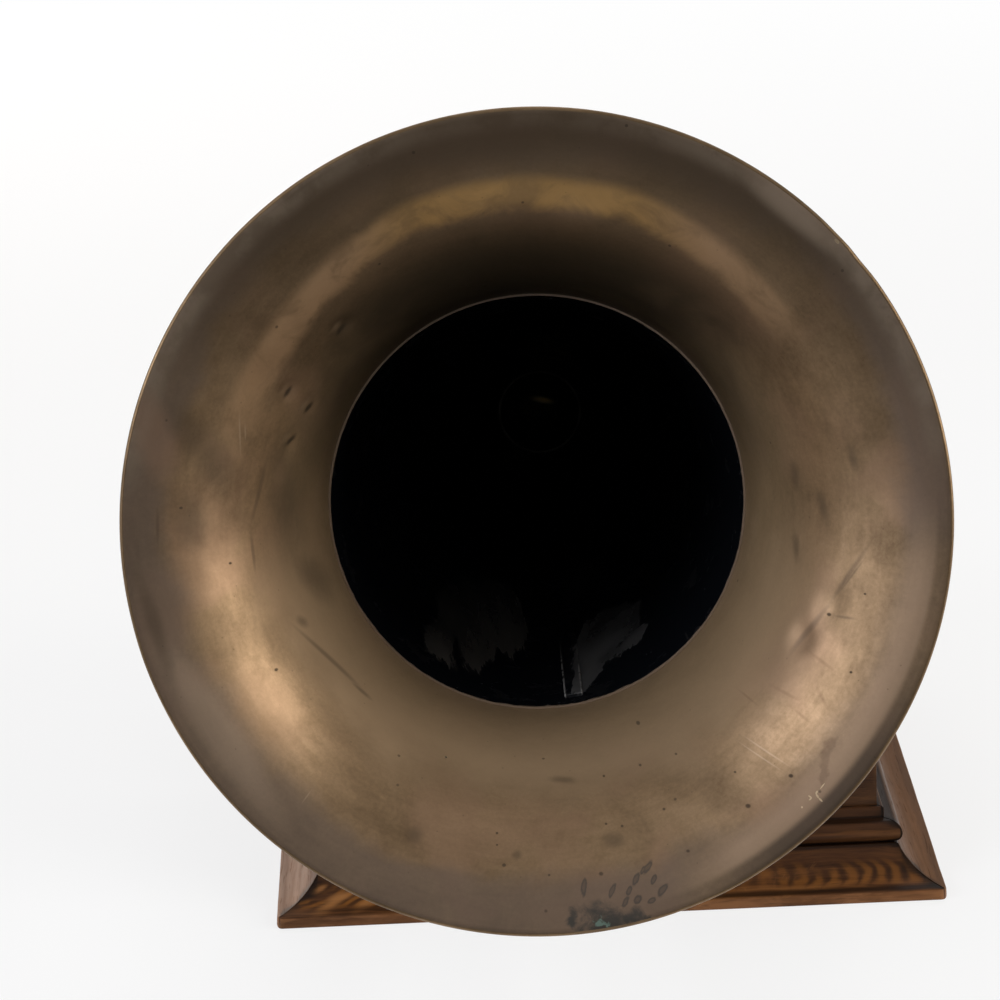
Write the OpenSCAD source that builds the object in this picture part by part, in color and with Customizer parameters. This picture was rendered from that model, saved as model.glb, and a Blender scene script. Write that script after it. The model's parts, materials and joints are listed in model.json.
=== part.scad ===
// Disc phonograph: an oak cabinet with a spring motor, and a brass horn carried in front of it.
// Millimetres, +Z up. The origin lies on the table under the middle of the cabinet,
// and the horn's mouth points to -Y.

/* [Cabinet] */
// How far the base stands out from the case at its foot
base_out = 31; // [29:0.5:36]
// Height of the plain band at the foot of the base
band_h = 6; // [4:0.5:8]
// Height at which the hollow of the base moulding ends
cove_h = 22.3; // [20:0.1:25]
// How far the hollow of the base moulding runs inwards
cove_d = 21.8; // [18:0.1:24]
// Depth of the curve of that hollow
cove_sag = 3.2; // [2:0.1:4]
// Diameter of the round bead on the base moulding
bead_d = 11.6; // [9:0.1:13]
// Height of the base moulding
base_h = 39.5; // [38:0.5:46]
// Width of the narrow step above the bead
fillet_w = 3; // [2:0.5:4]
// Width and depth of the case above the base
case_w = 268; // [258:1:276]
// Thickness of the case walls
wall_t = 14; // [10:0.5:18]
// Height of the case walls
case_h = 146; // [140:1:170]
// Thickness of the bottom board
bottom_t = 9; // [6:0.5:14]
// Height of the moulding under the top board
cornice_h = 17; // [12:0.5:20]
// How far the moulding under the top board stands out
cornice_out = 9; // [6:0.5:12]
// Height of the upright lip of that moulding
cornice_lip = 5; // [3:0.5:7]
// Thickness of that moulding at its foot
cornice_foot = 2; // [1:0.5:3]
// How far the top board stands out from the case
board_out = 15; // [12:0.5:20]
// Thickness of the top board
board_t = 14; // [12:0.5:18]
// Width of the rounding on the top board's edge
board_nose = 6; // [4:0.5:8]

/* [Turntable] */
// Diameter of the turntable
platter_d = 254; // [240:1:260]
// Gap between the top board and the turntable's rim
platter_gap = 7; // [6:0.5:10]
// Height of the turntable's rim
rim_h = 11; // [9:0.5:14]
// Thickness of the turntable's rim
rim_t = 4; // [3:0.5:6]
// Thickness of the turntable's plate
plate_t = 4; // [3:0.5:5]
// Diameter of the turntable's hub
hub_d = 30; // [24:1:36]
// How far the turntable's hub hangs below its rim
hub_drop = 2; // [1:0.5:3]
// Thickness of the felt
felt_t = 2; // [1:0.5:3]
// Diameter of the spindle in the motor
spindle_d = 10; // [8:0.5:11]
// Diameter of the pin that a record's hole drops over
record_pin_d = 7.2; // [6.8:0.1:7.3]
// Height of that pin above the felt
record_pin_h = 12; // [8:0.5:16]

/* [Horn] */
// Diameter of the horn over its rim
mouth_d = 299.6; // [280:0.1:320]
// Depth of the brass bell
bell_depth = 86.3; // [75:0.1:100]
// Angle of the bell's wall to the horn's axis at the rim
flare_angle = 78; // [65:1:85]
// Inside diameter where the bell meets the black horn body
throat_d = 157.2; // [145:0.1:165]
// Length of the horn from rim to small end
horn_length = 535.3; // [500:0.1:570]
// Inside diameter of the small end
small_d = 40.4; // [36:0.1:46]
// Thickness of the sheet metal
sheet_t = 0.7; // [0.5:0.1:1]
// Diameter of the rolled edge round the mouth
rim_bead_d = 2.6; // [2:0.1:4]
// Overlap of the bell on the horn body
lap = 10; // [6:1:14]
// Width of the folded seam inside the horn body
seam_w = 6.5; // [4:0.5:9]
// How far the folded seam stands proud
seam_t = 0.8; // [0.5:0.1:1.2]
// Angle of the seam from the bottom of the horn
seam_angle = 10.4; // [0:0.1:20]
// Upward tilt of the horn at rest
horn_tilt = 12.71; // [10:0.01:15]
// Sideways turn of the horn at rest
horn_yaw = 1.75; // [0:0.01:3]
// Distance along the horn from its trunnions to the rim
rim_reach = 235; // [225:1:250]

/* [Horn mount] */
// Place of the swivel across the cabinet
swivel_x = -34.1; // [-45:0.1:-20]
// Distance of the swivel in front of the case
swivel_reach = 243; // [225:0.5:255]
// Width of the ring clamp along the horn
clamp_w = 14; // [10:0.5:18]
// Thickness of the ring clamp
clamp_t = 4; // [3:0.5:5]
// Slot at the top of the ring clamp
clamp_slot = 5; // [3:0.5:8]
// Height of the ears beside that slot
ear_h = 12; // [10:0.5:16]
// Thickness of each ear
ear_t = 4; // [3:0.5:6]
// Gap between the ring clamp and the yoke
yoke_gap = 6; // [5:0.5:9]
// Thickness of the yoke
yoke_t = 7; // [5:0.5:9]
// Width of the yoke along the horn
yoke_w = 14; // [12:0.5:18]
// Diameter of the yoke's ears
yoke_ear_d = 18; // [16:0.5:22]
// Diameter of the trunnion screws
trunnion_d = 8; // [6:0.5:9]
// Diameter of the trunnion screws' threaded ends
trunnion_thread_d = 5; // [4:0.5:5.5]
// Diameter of the trunnion screws' heads
trunnion_head_d = 15; // [12:0.5:18]
// Thickness of the trunnion screws' heads
trunnion_head_t = 4; // [3:0.5:5]
// Diameter of the yoke's stem
stem_d = 12; // [10:0.5:14]
// Diameter of the shoulder above the stem
collar_d = 26; // [22:0.5:30]
// Height of that shoulder
collar_h = 6; // [4:0.5:10]
// Diameter of the bracket's socket
socket_d = 28; // [24:0.5:32]
// Height of the bracket's socket
socket_h = 38; // [30:1:46]
// Thickness of the socket's floor
socket_floor = 4; // [3:0.5:6]
// Height of the raised band round the socket's top
socket_band_h = 6; // [4:0.5:8]
// How far that band stands out
socket_band_out = 2; // [1:0.5:3]
// Height of the cone under the socket
socket_cone_h = 10; // [8:0.5:14]
// Diameter of the bracket's arm
arm_d = 19; // [16:0.5:22]
// Length of the cone that joins the arm to its wall plate
arm_cone_l = 12; // [8:0.5:16]
// Diameter of that cone at the wall plate
arm_cone_d = 37; // [30:0.5:42]
// Width of the bracket's wall plate
flange_w = 62; // [56:1:70]
// Height of the bracket's wall plate
flange_h = 62; // [50:1:70]
// Thickness of the bracket's wall plate
flange_t = 6; // [4:0.5:8]
// Diameter of the wood screws
screw_d = 5; // [4:0.5:6]
// Length of the wood screws in the wall
screw_bite = 10; // [6:0.5:12]
// Diameter of the screw heads
screw_head_d = 10; // [8:0.5:11]
// Height of the screw heads
screw_head_h = 3; // [2:0.5:4]

/* [Elbow and soundbox] */
// Length of the tapered ferrule behind the horn
ferrule_l = 36; // [30:0.5:42]
// Wall of the ferrule
ferrule_wall = 1.2; // [1:0.1:2]
// Length of the socket at either end of the ferrule
ferrule_lap = 8; // [6:0.5:10]
// Outside diameter of the elbow
elbow_d = 23; // [20:0.5:25]
// Wall of the elbow
elbow_wall = 1.5; // [1:0.1:2]
// Radius of the elbow's bend
elbow_bend = 30; // [26:0.5:34]
// Straight neck between the bend and the soundbox
neck_l = 12; // [11:0.5:16]
// Length of the soundbox's sleeve on that neck
sleeve_l = 9; // [7:0.5:10]
// Wall of that sleeve
sleeve_wall = 2.4; // [2:0.1:3]
// Diameter of the soundbox
box_d = 57; // [54:0.5:60]
// Thickness of the soundbox's back
box_back_t = 3; // [2.5:0.1:4]
// Depth of the air chamber behind the diaphragm
chamber_h = 5; // [4:0.5:6]
// Thickness of each rubber gasket
gasket_t = 1.5; // [1:0.1:2]
// Width of each rubber gasket
gasket_w = 3; // [2.5:0.1:4]
// Thickness of the diaphragm
diaphragm_t = 0.5; // [0.4:0.1:0.8]
// Diameter of the diaphragm
diaphragm_d = 50; // [48:0.5:52]
// Thickness of the soundbox's front ring
face_t = 3; // [2:0.1:4]
// Thickness of the lugs that hold the stylus bar's pivot
lug_t = 3; // [2.5:0.1:3.5]
// Height of those lugs
lug_h = 7.5; // [7:0.5:9]
// Angle at which the needle leans back from upright
needle_lean = 28; // [20:1:35]
// Distance from the soundbox's middle to the needle's point
needle_reach = 45.4; // [44:0.1:50]
// Diameter of the needle
needle_d = 1.6; // [1.4:0.1:2]
// Length of the needle's point
needle_tip_l = 4; // [3:0.5:5]
// Diameter of the flat at the needle's very tip
needle_tip_d = 0.3; // [0.2:0.1:0.5]
// Gap between the needle's point and the felt
needle_gap = 0.3; // [0.2:0.1:0.6]
// Width of the stylus bar
bar_w = 4; // [3:0.5:5]
// Thickness of the stylus bar
bar_t = 3; // [2.5:0.1:4]
// Diameter of the needle chuck
chuck_d = 8; // [7:0.5:9]
// Length of the needle chuck
chuck_l = 9; // [8:0.5:10]
// Diameter of the stylus bar's pivot pin
pivot_pin_d = 2; // [1.6:0.1:2.6]
// Diameter of the needle screw's head
needle_head_d = 9; // [7:0.5:11]
// Length of the needle screw's head
needle_head_l = 6; // [4:0.5:8]
// Diameter of the needle screw's thread
needle_thread_d = 3; // [2.4:0.1:3.6]

/* [Motor] */
// Thickness of the bedplate under the top board
bedplate_t = 5; // [4:0.5:6]
// Thickness of the lower plate
lower_plate_t = 4; // [3:0.5:5]
// Distance between the two plates
motor_h = 97; // [95:0.5:100]
// Diameter of the pillars between the plates
pillar_d = 9; // [8:0.5:11]
// Reach of the motor plates to the left of the spindle
plate_left = 108; // [106:1:112]
// Reach of the motor plates to the right of the spindle
plate_right = 64; // [62:1:70]
// Reach of the motor plates to the front of the spindle
plate_front = 66; // [64:1:70]
// Reach of the motor plates to the back of the spindle
plate_back = 72; // [70:1:76]
// Distance of the pillars from the edges of the plates
pillar_inset = 9; // [8:0.5:10]
// Distance of the spring barrel to the left of the spindle
barrel_x = 58; // [57:0.5:60]
// Distance of the spring barrel and crank behind the spindle
barrel_y = 12; // [8:0.5:16]
// Diameter of the spring barrel's drum
drum_d = 80; // [76:0.5:82]
// Height of the spring barrel
drum_h = 34; // [30:0.5:36]
// Wall of the spring barrel
drum_wall = 2; // [1.5:0.1:3]
// Thickness of the barrel's cover
cover_t = 2.5; // [2:0.1:3]
// Height of the barrel's toothed ring
ring_gear_h = 6; // [4:0.5:8]
// Teeth on the spring barrel
barrel_teeth = 60; // [60:1:60]
// Teeth on each driven pinion
pinion_teeth = 12; // [12:1:12]
// Teeth on the intermediate wheel
wheel_teeth = 48; // [48:1:48]
// Tooth module of the barrel and its pinion
barrel_mod = 1.5; // [1.5:0.01:1.52]
// Tooth module of the intermediate wheel and the spindle's pinion
train_mod = 1.25; // [1.23:0.01:1.25]
// Thickness of the intermediate wheel
wheel_t = 4; // [3:0.5:5]
// Diameter of the intermediate shaft
layshaft_d = 6; // [5:0.5:7]
// Wall of the hubs on the motor's shafts
hub_wall = 4; // [3:0.5:5]
// Length of those hubs
hub_l = 4; // [3:0.5:4.5]
// Holes through the intermediate wheel
web_holes = 5; // [3:1:6]
// Diameter of those holes
web_hole_d = 10; // [8:0.5:12]
// Depth of the step bearings under the lower plate
step_bearing_h = 6; // [5:0.5:8]
// Thickness of the step bearings' floor
step_floor = 1.5; // [1:0.1:2]
// Height of the intermediate wheel above the lower plate
wheel_z = 6; // [5:0.5:7]
// Height of the spring barrel above the lower plate
drum_z = 14; // [13:0.5:15]
// Diameter of the winding arbor
arbor_d = 12; // [10:0.5:13]
// Turns of the mainspring
spring_turns = 10; // [8:1:12]
// Thickness of the mainspring
spring_t = 0.7; // [0.5:0.1:1]
// Teeth on the winding wheel
bevel_teeth = 24; // [24:1:24]
// Teeth on the crank's pinion
bevel_pinion_teeth = 12; // [12:1:12]
// Tooth module of the winding wheel and its pinion
bevel_mod = 1.5; // [1.4:0.01:1.55]
// Length of the winding wheel's teeth along its axis
bevel_h = 4; // [3:0.1:4.5]
// Height of the winding wheel above the lower plate
bevel_z = 56; // [54:0.5:58]
// Diameter of the one-way clutch on the winding arbor
clutch_d = 30; // [26:1:34]
// Height of the one-way clutch
clutch_h = 14; // [10:0.5:16]

/* [Governor] */
// Height of the governor above the lower plate
governor_z = 75; // [74:0.5:76]
// Teeth on the governor wheel
governor_teeth = 45; // [45:1:45]
// Starts of the worm
worm_starts = 3; // [3:1:3]
// Module of the worm and its wheel
worm_mod = 1; // [0.95:0.01:1.05]
// Pitch diameter of the worm
worm_d = 10; // [9:0.1:11]
// Length of the worm
worm_l = 18; // [14:0.5:20]
// Thickness of the governor wheel
governor_wheel_t = 4; // [3:0.5:5]
// Diameter of the governor shaft
governor_shaft_d = 4; // [3.5:0.1:5]
// Width of the bearings that hang from the bedplate
bearing_w = 8; // [7:0.5:9]
// Thickness of those bearings
bearing_t = 6; // [5:0.5:7]
// Wall of the governor's collars
collar_t = 3; // [2.5:0.1:3.5]
// Distance of the front bearing from the worm
front_bearing_y = 20; // [18:0.5:22]
// Distance of the rear bearing from the worm
rear_bearing_y = 63; // [62:0.5:65]
// Distance of the flyweights from the worm
weight_y = 38; // [37:0.5:39]
// Half the length of the leaf springs
leaf_reach = 13; // [12:0.5:14]
// Distance of the flyweights from the shaft
weight_orbit = 13; // [12:0.5:14]
// Diameter of each flyweight
weight_d = 10; // [8:0.5:11]
// Depth of the flat on each flyweight
weight_flat = 1; // [0.6:0.1:1.5]
// Thickness of each leaf spring
leaf_t = 0.8; // [0.6:0.1:1]
// Width of each leaf spring
leaf_w = 4; // [3:0.5:5]
// Diameter of the friction disc
disc_d = 32; // [30:0.5:34]
// Thickness of the friction disc
disc_t = 2; // [1.5:0.1:2.5]

/* [Crank] */
// Diameter of the crank's rod
crank_d = 10; // [9:0.5:11]
// Throw of the crank
crank_throw = 85; // [75:1:88]
// Gap between the base and the crank's arm
crank_clear = 3; // [2:0.5:6]
// Radius of the bends in the crank
crank_bend = 12; // [10:0.5:14]
// Diameter of the pin that the handle turns on
handle_pin_d = 8; // [7:0.5:9]
// Length of the handle
handle_l = 48; // [42:1:54]
// Largest diameter of the handle
handle_d = 23; // [20:0.5:26]
// Diameter of the bush in the case wall
bush_d = 18; // [16:0.5:20]
// Diameter of the bush's flange
bush_flange_d = 38; // [34:1:42]
// Thickness of the bush's flange
bush_flange_t = 3; // [2:0.5:4]
// How far the bush's nose stands out of its flange
bush_nose = 4; // [2:0.5:6]

/* [Brake and speed lever] */
// Distance of the brake's pivot from the turntable's rim
brake_out = 20; // [18:0.5:22]
// Angle of the brake's pivot
brake_angle = -36; // [-38:0.5:-34]
// Angle of the brake pad
brake_pad_angle = -52; // [-54:0.5:-50]
// Diameter of the brake pad
brake_pad_d = 7; // [6:0.5:8]
// Width of the brake lever
brake_w = 9; // [8:0.5:10]
// Thickness of the brake lever
brake_t = 3; // [2.5:0.1:3.5]
// Gap under the brake lever
brake_lift = 1.5; // [1:0.1:2]
// Length of the brake's thumb tab
brake_tab = 22; // [18:1:26]
// Height of that tab
brake_tab_h = 5; // [4:0.5:6]
// Angle between the brake's two arms
brake_knee = 150; // [145:1:155]
// Distance of the speed lever's post from the spindle along X and Y
post_offset = 100; // [97:0.5:102]
// Diameter of the speed lever's post
speed_post_d = 6; // [5:0.5:7]
// Length of the speed lever
speed_lever_l = 30; // [26:1:34]
// Height of the speed lever's hub
speed_hub_h = 6; // [5:0.5:8]
// Width of the speed lever
speed_lever_w = 4; // [3:0.5:5]
// Thickness of the speed lever
speed_lever_t = 3; // [2:0.5:4]
// Diameter of the speed lever's knob
speed_knob_d = 9; // [8:0.5:11]
// Height of the speed lever's knob
speed_knob_h = 7; // [5:0.5:9]
// Diameter of the speed plate
speed_plate_d = 30; // [26:1:34]
// Thickness of the speed plate
speed_plate_t = 1; // [0.8:0.1:1.5]
// Diameter of the friction pad
pad_d = 6; // [5:0.5:7]
// Thickness of the friction pad
pad_t = 3; // [2.5:0.1:3]
// Gap between the friction pad and the disc
pad_gap = 0.4; // [0.3:0.1:0.6]
// Thickness of the friction arm
friction_arm_t = 2; // [1.5:0.1:2.5]
// Height of the friction arm
friction_arm_w = 7; // [6:0.5:8]

/* [Fits] */
// Running clearance of a shaft in its bearing
run_fit = 0.05; // [0.02:0.01:0.1]
// Clearance of pieces that are soldered, screwed or pushed together
seat_fit = 0.1; // [0.05:0.01:0.15]
// Side play of pieces that turn beside each other
side_play = 0.5; // [0.3:0.1:0.8]
// Small chamfers and shoulders on cut and turned edges
edge = 1; // [0.6:0.1:1.4]

/* [Hidden] */
$fn = 72;

// How far a cutter runs past the face that it opens, and joined shapes run into each other
cut = 1;

// Heights through the cabinet and turntable
board_top = case_h + board_t;
rim_z = board_top + platter_gap;
plate_top = rim_z + rim_h;
felt_top = plate_top + felt_t;
platter_r = platter_d / 2;

// Widths through the cabinet
base_w = case_w + 2 * base_out;
board_w = case_w + 2 * board_out;

// Horn frame: y runs along the horn from its trunnions towards the small end
small_end = horn_length - rim_reach;
body_l = horn_length - bell_depth;
bell_y = small_end - body_l;
body_slope = (throat_d - small_d) / 2 / body_l;
function body_r(y) = small_d / 2 + body_slope * (small_end - y);
elbow_start = small_end + ferrule_l;
elbow_y = elbow_start + elbow_bend;

// The horn stands as high as the needle on the turntable needs
elbow_drop = elbow_y * sin(horn_tilt);
pivot_z = felt_top + needle_gap + needle_reach * cos(needle_lean) + elbow_drop;
swivel_y = -case_w / 2 - swivel_reach;
clamp_r = body_r(0) + sheet_t + clamp_t;
yoke_r = clamp_r + yoke_gap;
yoke_out = yoke_r + yoke_t;
socket_top = pivot_z - yoke_out - collar_h - side_play;
socket_z = socket_top - socket_h;
arm_z = (base_h + case_h - cornice_h) / 2;
arm_bend = socket_z - arm_z;

// Motor levels
bedplate_z = case_h - bedplate_t;
lower_top = bedplate_z - motor_h;
step_z = lower_top - lower_plate_t - step_bearing_h;
shaft_foot = step_z + step_floor + run_fit;
shaft_top = case_h - edge;
drum_floor = lower_top + drum_z;
drum_top = drum_floor + drum_h;
bevel_base = lower_top + bevel_z;
governor_level = lower_top + governor_z;

// Motor axes: the intermediate shaft lies where both of its gears reach their partners
function bearing(from, to) = atan2(to.y - from.y, to.x - from.x);
barrel = [-barrel_x, barrel_y];
barrel_far = norm(barrel);
train_gap = (wheel_teeth + pinion_teeth) * train_mod / 2;
barrel_gap = (barrel_teeth + pinion_teeth) * barrel_mod / 2;
layshaft_along = (pow(train_gap, 2) - pow(barrel_gap, 2) + pow(barrel_far, 2)) / 2 / barrel_far;
layshaft_side = sqrt(pow(train_gap, 2) - pow(layshaft_along, 2));
layshaft = (barrel * layshaft_along + [-barrel.y, barrel.x] * layshaft_side) / barrel_far;
barrel_to_layshaft = bearing(barrel, layshaft);
layshaft_to_spindle = bearing(layshaft, [0, 0]);
bevel_r = bevel_teeth * bevel_mod / 2;
bevel_pinion_r = bevel_pinion_teeth * bevel_mod / 2;
crank_z = bevel_base + bevel_pinion_r;
crank_x = base_w / 2 + crank_clear + crank_d / 2;
governor_r = governor_teeth * worm_mod / 2;
governor_x = governor_r + worm_d / 2;
worm_lead = PI * worm_mod * worm_starts;

// Frames that the assemblies are drawn in
module swing_frame()
    translate([swivel_x, swivel_y, pivot_z]) rotate([0, 0, -horn_yaw]) children();
module horn_frame()
    swing_frame() rotate([-horn_tilt, 0, 0]) children();
module soundbox_frame()
    swing_frame() translate([-elbow_bend - neck_l, elbow_y * cos(horn_tilt), -elbow_drop])
        rotate([needle_lean, 0, 0]) children();
module governor_frame() translate([governor_x, 0, governor_level]) along_y() children();
module along_y() rotate([-90, 0, 0]) children();
module along_left() rotate([0, -90, 0]) children();
module along_right() rotate([0, 90, 0]) children();
module on_side(i) rotate([0, 0, 90 * i]) children();
module at(p, z) translate([p.x, p.y, z]) children();

// Points of an arc from a to b whose middle lies sag to the right of the straight line
function arc(a, b, sag, n) =
    let (half = norm(b - a) / 2,
         r = (half * half + sag * sag) / 2 / sag,
         dir = (b - a) / half / 2,
         side = [dir.y, -dir.x],
         middle = (a + b) / 2 - side * (r - sag),
         turn = asin(half / r))
    [for (i = [0:n]) let (t = turn * (2 * i / n - 1)) middle + side * r * cos(t) + dir * r * sin(t)];
arc_steps = 8;
function polar(r, t) = [r * cos(t), r * sin(t)];
function reversed(list) = [for (i = [len(list) - 1:-1:0]) list[i]];

// A strip of one profile, x inwards and y up, with mitred ends, along one side of a square
module mitred_strip(profile, half)
    intersection() {
        translate([-half, -half, 0]) rotate([90, 0, 90]) linear_extrude(2 * half) polygon(profile);
        translate([0, 0, -cut]) linear_extrude(case_h + 2 * cut)
            polygon([[0, 0], [-2 * half, -2 * half], [2 * half, -2 * half]]);
    }

// A gear outline with straight-sided teeth and a tooth pointing along x;
// tip and root are in modules from the pitch line, wide and narrow are shares of the pitch
module gear_outline(teeth, mod, tip = 0.85, root = 1.2, wide = 0.25, narrow = 0.11) {
    pitch_r = teeth * mod / 2;
    tooth = [[-wide, -root], [-narrow, tip], [narrow, tip], [wide, -root]];
    polygon([for (i = [0:teeth - 1]) for (c = tooth) polar(pitch_r + c.y * mod, (i + c.x) * 360 / teeth)]);
}

module tube(d, hole, h)
    difference() {
        cylinder(d = d, h = h);
        translate([0, 0, -cut]) cylinder(d = hole, h = h + 2 * cut);
    }

// A hole along z from one height up to another, run past both ends
module drill(d, from, to) translate([0, 0, from - cut]) cylinder(d = d, h = to - from + 2 * cut);

// A quarter bend of a rod that starts along +z and turns towards -x
module bend(radius, d)
    translate([-radius, 0, 0]) rotate([90, 0, 0])
        rotate_extrude(angle = 90) translate([radius, 0]) circle(d = d);

// A screw head whose flat side lies at z = 0
module screw_head() cylinder(d1 = screw_head_d, d2 = screw_head_d - 3 * edge, h = screw_head_h);
screw_hole_d = screw_d + 2 * seat_fit;

// Cabinet
bead_r = bead_d / 2;
bead_sunk = 0.64;
bead_c = [cove_d + bead_r * bead_sunk, cove_h + bead_r];
bead_end = 80;
bead_step = 20;
base_profile = concat(
    [[0, 0], [0, band_h - edge]],
    arc([edge, band_h], [cove_d, cove_h], cove_sag, arc_steps),
    [for (t = [-bead_end:bead_step:bead_end]) bead_c + bead_r * [-cos(t), sin(t)]],
    [[base_out - fillet_w, bead_c.y + bead_r * sin(bead_end)], [base_out - fillet_w, base_h - edge],
     [base_out - fillet_w + edge, base_h], [base_out, base_h], [base_out, 0]]);
module base_strip(i) color("saddlebrown") on_side(i) mitred_strip(base_profile, base_w / 2);
module base_moulding_front() base_strip(0);
module base_moulding_right() base_strip(1);
module base_moulding_back() base_strip(2);
module base_moulding_left() base_strip(3);

case_r = case_w / 2;
module case_wall(i)
    on_side(i) mitred_strip([[0, 0], [wall_t, 0], [wall_t, case_h], [0, case_h]], case_r);
module flange_screw_places()
    for (x = [-1, 1], z = [-1, 1])
        translate([swivel_x + x * (flange_w / 2 - screw_head_d), -case_r, arm_z])
            translate([0, 0, z * (flange_h / 2 - screw_head_d)]) along_y() children();
module case_front() color("sienna")
    difference() {
        case_wall(0);
        flange_screw_places() drill(screw_hole_d, 0, screw_bite);
    }
module case_right() color("sienna") case_wall(1);
module case_back() color("sienna") case_wall(2);
module case_left() color("sienna")
    difference() {
        case_wall(3);
        translate([0, barrel_y, crank_z]) along_left() drill(bush_d + 2 * seat_fit, case_r - wall_t, case_r);
    }
module bottom_board() color("peru")
    translate([-case_r + wall_t, -case_r + wall_t, 0])
        cube([case_w - 2 * wall_t, case_w - 2 * wall_t, bottom_t]);

cornice_z = case_h - cornice_h;
cornice_profile = concat(
    [[cornice_out, cornice_z], [cornice_out - cornice_foot, cornice_z]],
    arc([cornice_out - cornice_foot, cornice_z + edge], [0, case_h - cornice_lip], cornice_foot, arc_steps),
    [[0, case_h], [cornice_out, case_h]]);
module cornice() color("saddlebrown")
    for (i = [0:3]) on_side(i) mitred_strip(cornice_profile, case_r + cornice_out);

board_r = board_w / 2;
nose_r = board_nose - edge;
nose_sag = nose_r * (1 - cos(45));
board_edge = concat(
    [[board_r - board_nose, board_t]],
    arc([board_r - nose_r, board_t - edge], [board_r, board_t - board_nose], -nose_sag, arc_steps),
    [[board_r, 2 * edge], [board_r - 2 * edge, 0]]);
module board_run()
    rotate([90, 0, 90]) translate([0, 0, -board_w]) linear_extrude(2 * board_w)
        polygon(concat(board_edge, reversed([for (p = board_edge) [-p.x, p.y]])));
module top_board() color("sienna")
    difference() {
        translate([0, 0, case_h]) intersection() {
            board_run();
            rotate([0, 0, 90]) board_run();
        }
        drill(spindle_d + 2 * hub_wall, case_h, board_top);
        speed_frame() drill(speed_post_d + 2 * run_fit, case_h, board_top);
        at(brake_pivot_at, 0) drill(screw_hole_d, board_top - screw_bite + cut, board_top);
        bolt_places() drill(screw_hole_d, case_h, board_top);
    }

// Horn bracket on the case front
arm_cone_in = 2 * edge;
module horn_bracket() color("silver")
    difference() {
        union() {
            translate([swivel_x - flange_w / 2, -case_r - flange_t, arm_z - flange_h / 2])
                cube([flange_w, flange_t, flange_h]);
            translate([swivel_x, -case_r - flange_t + arm_cone_in - arm_cone_l, arm_z]) along_y()
                cylinder(d1 = arm_d + 4 * edge, d2 = arm_cone_d, h = arm_cone_l);
            translate([swivel_x, swivel_y + arm_bend, arm_z]) along_y()
                cylinder(d = arm_d, h = swivel_reach - arm_bend - edge);
            translate([swivel_x, swivel_y + arm_bend, arm_z]) rotate([90, 0, 0]) rotate([0, 0, -90])
                bend(arm_bend, arm_d);
            translate([swivel_x, swivel_y, socket_z]) {
                cylinder(d = socket_d, h = socket_h);
                translate([0, 0, 2 * edge - socket_cone_h])
                    cylinder(d1 = arm_d + edge, d2 = socket_d + 2 * socket_band_out, h = socket_cone_h);
                translate([0, 0, socket_h - socket_band_h])
                    cylinder(d = socket_d + 2 * socket_band_out, h = socket_band_h);
            }
        }
        translate([swivel_x, swivel_y, socket_z + socket_floor])
            cylinder(d = stem_d + 2 * run_fit, h = socket_h);
        flange_screw_places() drill(screw_hole_d, -flange_t, 0);
    }
module bracket_screws() color("silver")
    flange_screw_places() translate([0, 0, -flange_t]) {
        translate([0, 0, -edge]) cylinder(d = screw_d, h = edge + flange_t + screw_bite);
        rotate([180, 0, 0]) screw_head();
    }
bush_l = bush_flange_t + bush_nose;
module crank_bush() color("silver")
    translate([-case_r, barrel_y, crank_z]) along_left() difference() {
        union() {
            translate([0, 0, -wall_t]) cylinder(d = bush_d, h = wall_t + cut);
            cylinder(d1 = bush_flange_d, d2 = bush_flange_d - 4 * edge, h = bush_flange_t);
            cylinder(d = bush_d + 4 * edge, h = bush_l);
        }
        drill(crank_d + 2 * run_fit, -wall_t, bush_l);
    }

// Motor frame
plate_xs = [-plate_left + pillar_inset, plate_right - pillar_inset];
plate_ys = [-plate_front + pillar_inset, plate_back - pillar_inset];
module pillar_places() for (x = plate_xs, y = plate_ys) translate([x, y, 0]) children();
module bolt_places() for (x = plate_xs) translate([x, (plate_ys[0] + plate_ys[1]) / 2, 0]) children();
module motor_plate(t)
    translate([-plate_left, -plate_front, 0]) cube([plate_left + plate_right, plate_front + plate_back, t]);
module hanging_bearing(bore, w, drop)
    difference() {
        translate([-w / 2, -bearing_t / 2, -w / 2]) cube([w, bearing_t, drop + w / 2]);
        along_y() drill(bore, -bearing_t / 2, bearing_t / 2);
    }
winding_bearing_x = barrel_x + bevel_r + 2 * bearing_t + 2 * edge;
module motor_bedplate() color("dimgray") {
    difference() {
        translate([0, 0, bedplate_z]) motor_plate(bedplate_t);
        drill(spindle_d + 2 * run_fit, bedplate_z, case_h);
        at(barrel, 0) drill(arbor_d + 2 * run_fit, bedplate_z, case_h);
        at(layshaft, 0) drill(layshaft_d + 2 * run_fit, bedplate_z, case_h);
        bolt_places() drill(screw_hole_d, bedplate_z, case_h);
    }
    for (y = [-front_bearing_y, rear_bearing_y])
        translate([governor_x, y, governor_level])
            hanging_bearing(governor_shaft_d + 2 * run_fit, bearing_w, bedplate_z - governor_level);
    translate([-winding_bearing_x, barrel_y, crank_z]) rotate([0, 0, 90])
        hanging_bearing(crank_d + 2 * run_fit, 2 * crank_d, bedplate_z - crank_z);
}
module step_hole(d) translate([0, 0, step_z + step_floor]) cylinder(d = d + 2 * run_fit, h = lower_top);
module motor_lower_plate() color("dimgray")
    difference() {
        union() {
            translate([0, 0, lower_top - lower_plate_t]) motor_plate(lower_plate_t);
            for (p = [[0, 0], layshaft, barrel])
                at(p, step_z) cylinder(d = 2 * arbor_d, h = step_bearing_h + cut);
        }
        step_hole(spindle_d);
        at(layshaft, 0) step_hole(layshaft_d);
        at(barrel, 0) step_hole(arbor_d);
    }
module motor_pillars() color("gray")
    pillar_places() translate([0, 0, lower_top]) cylinder(d = pillar_d, h = motor_h);
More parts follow.
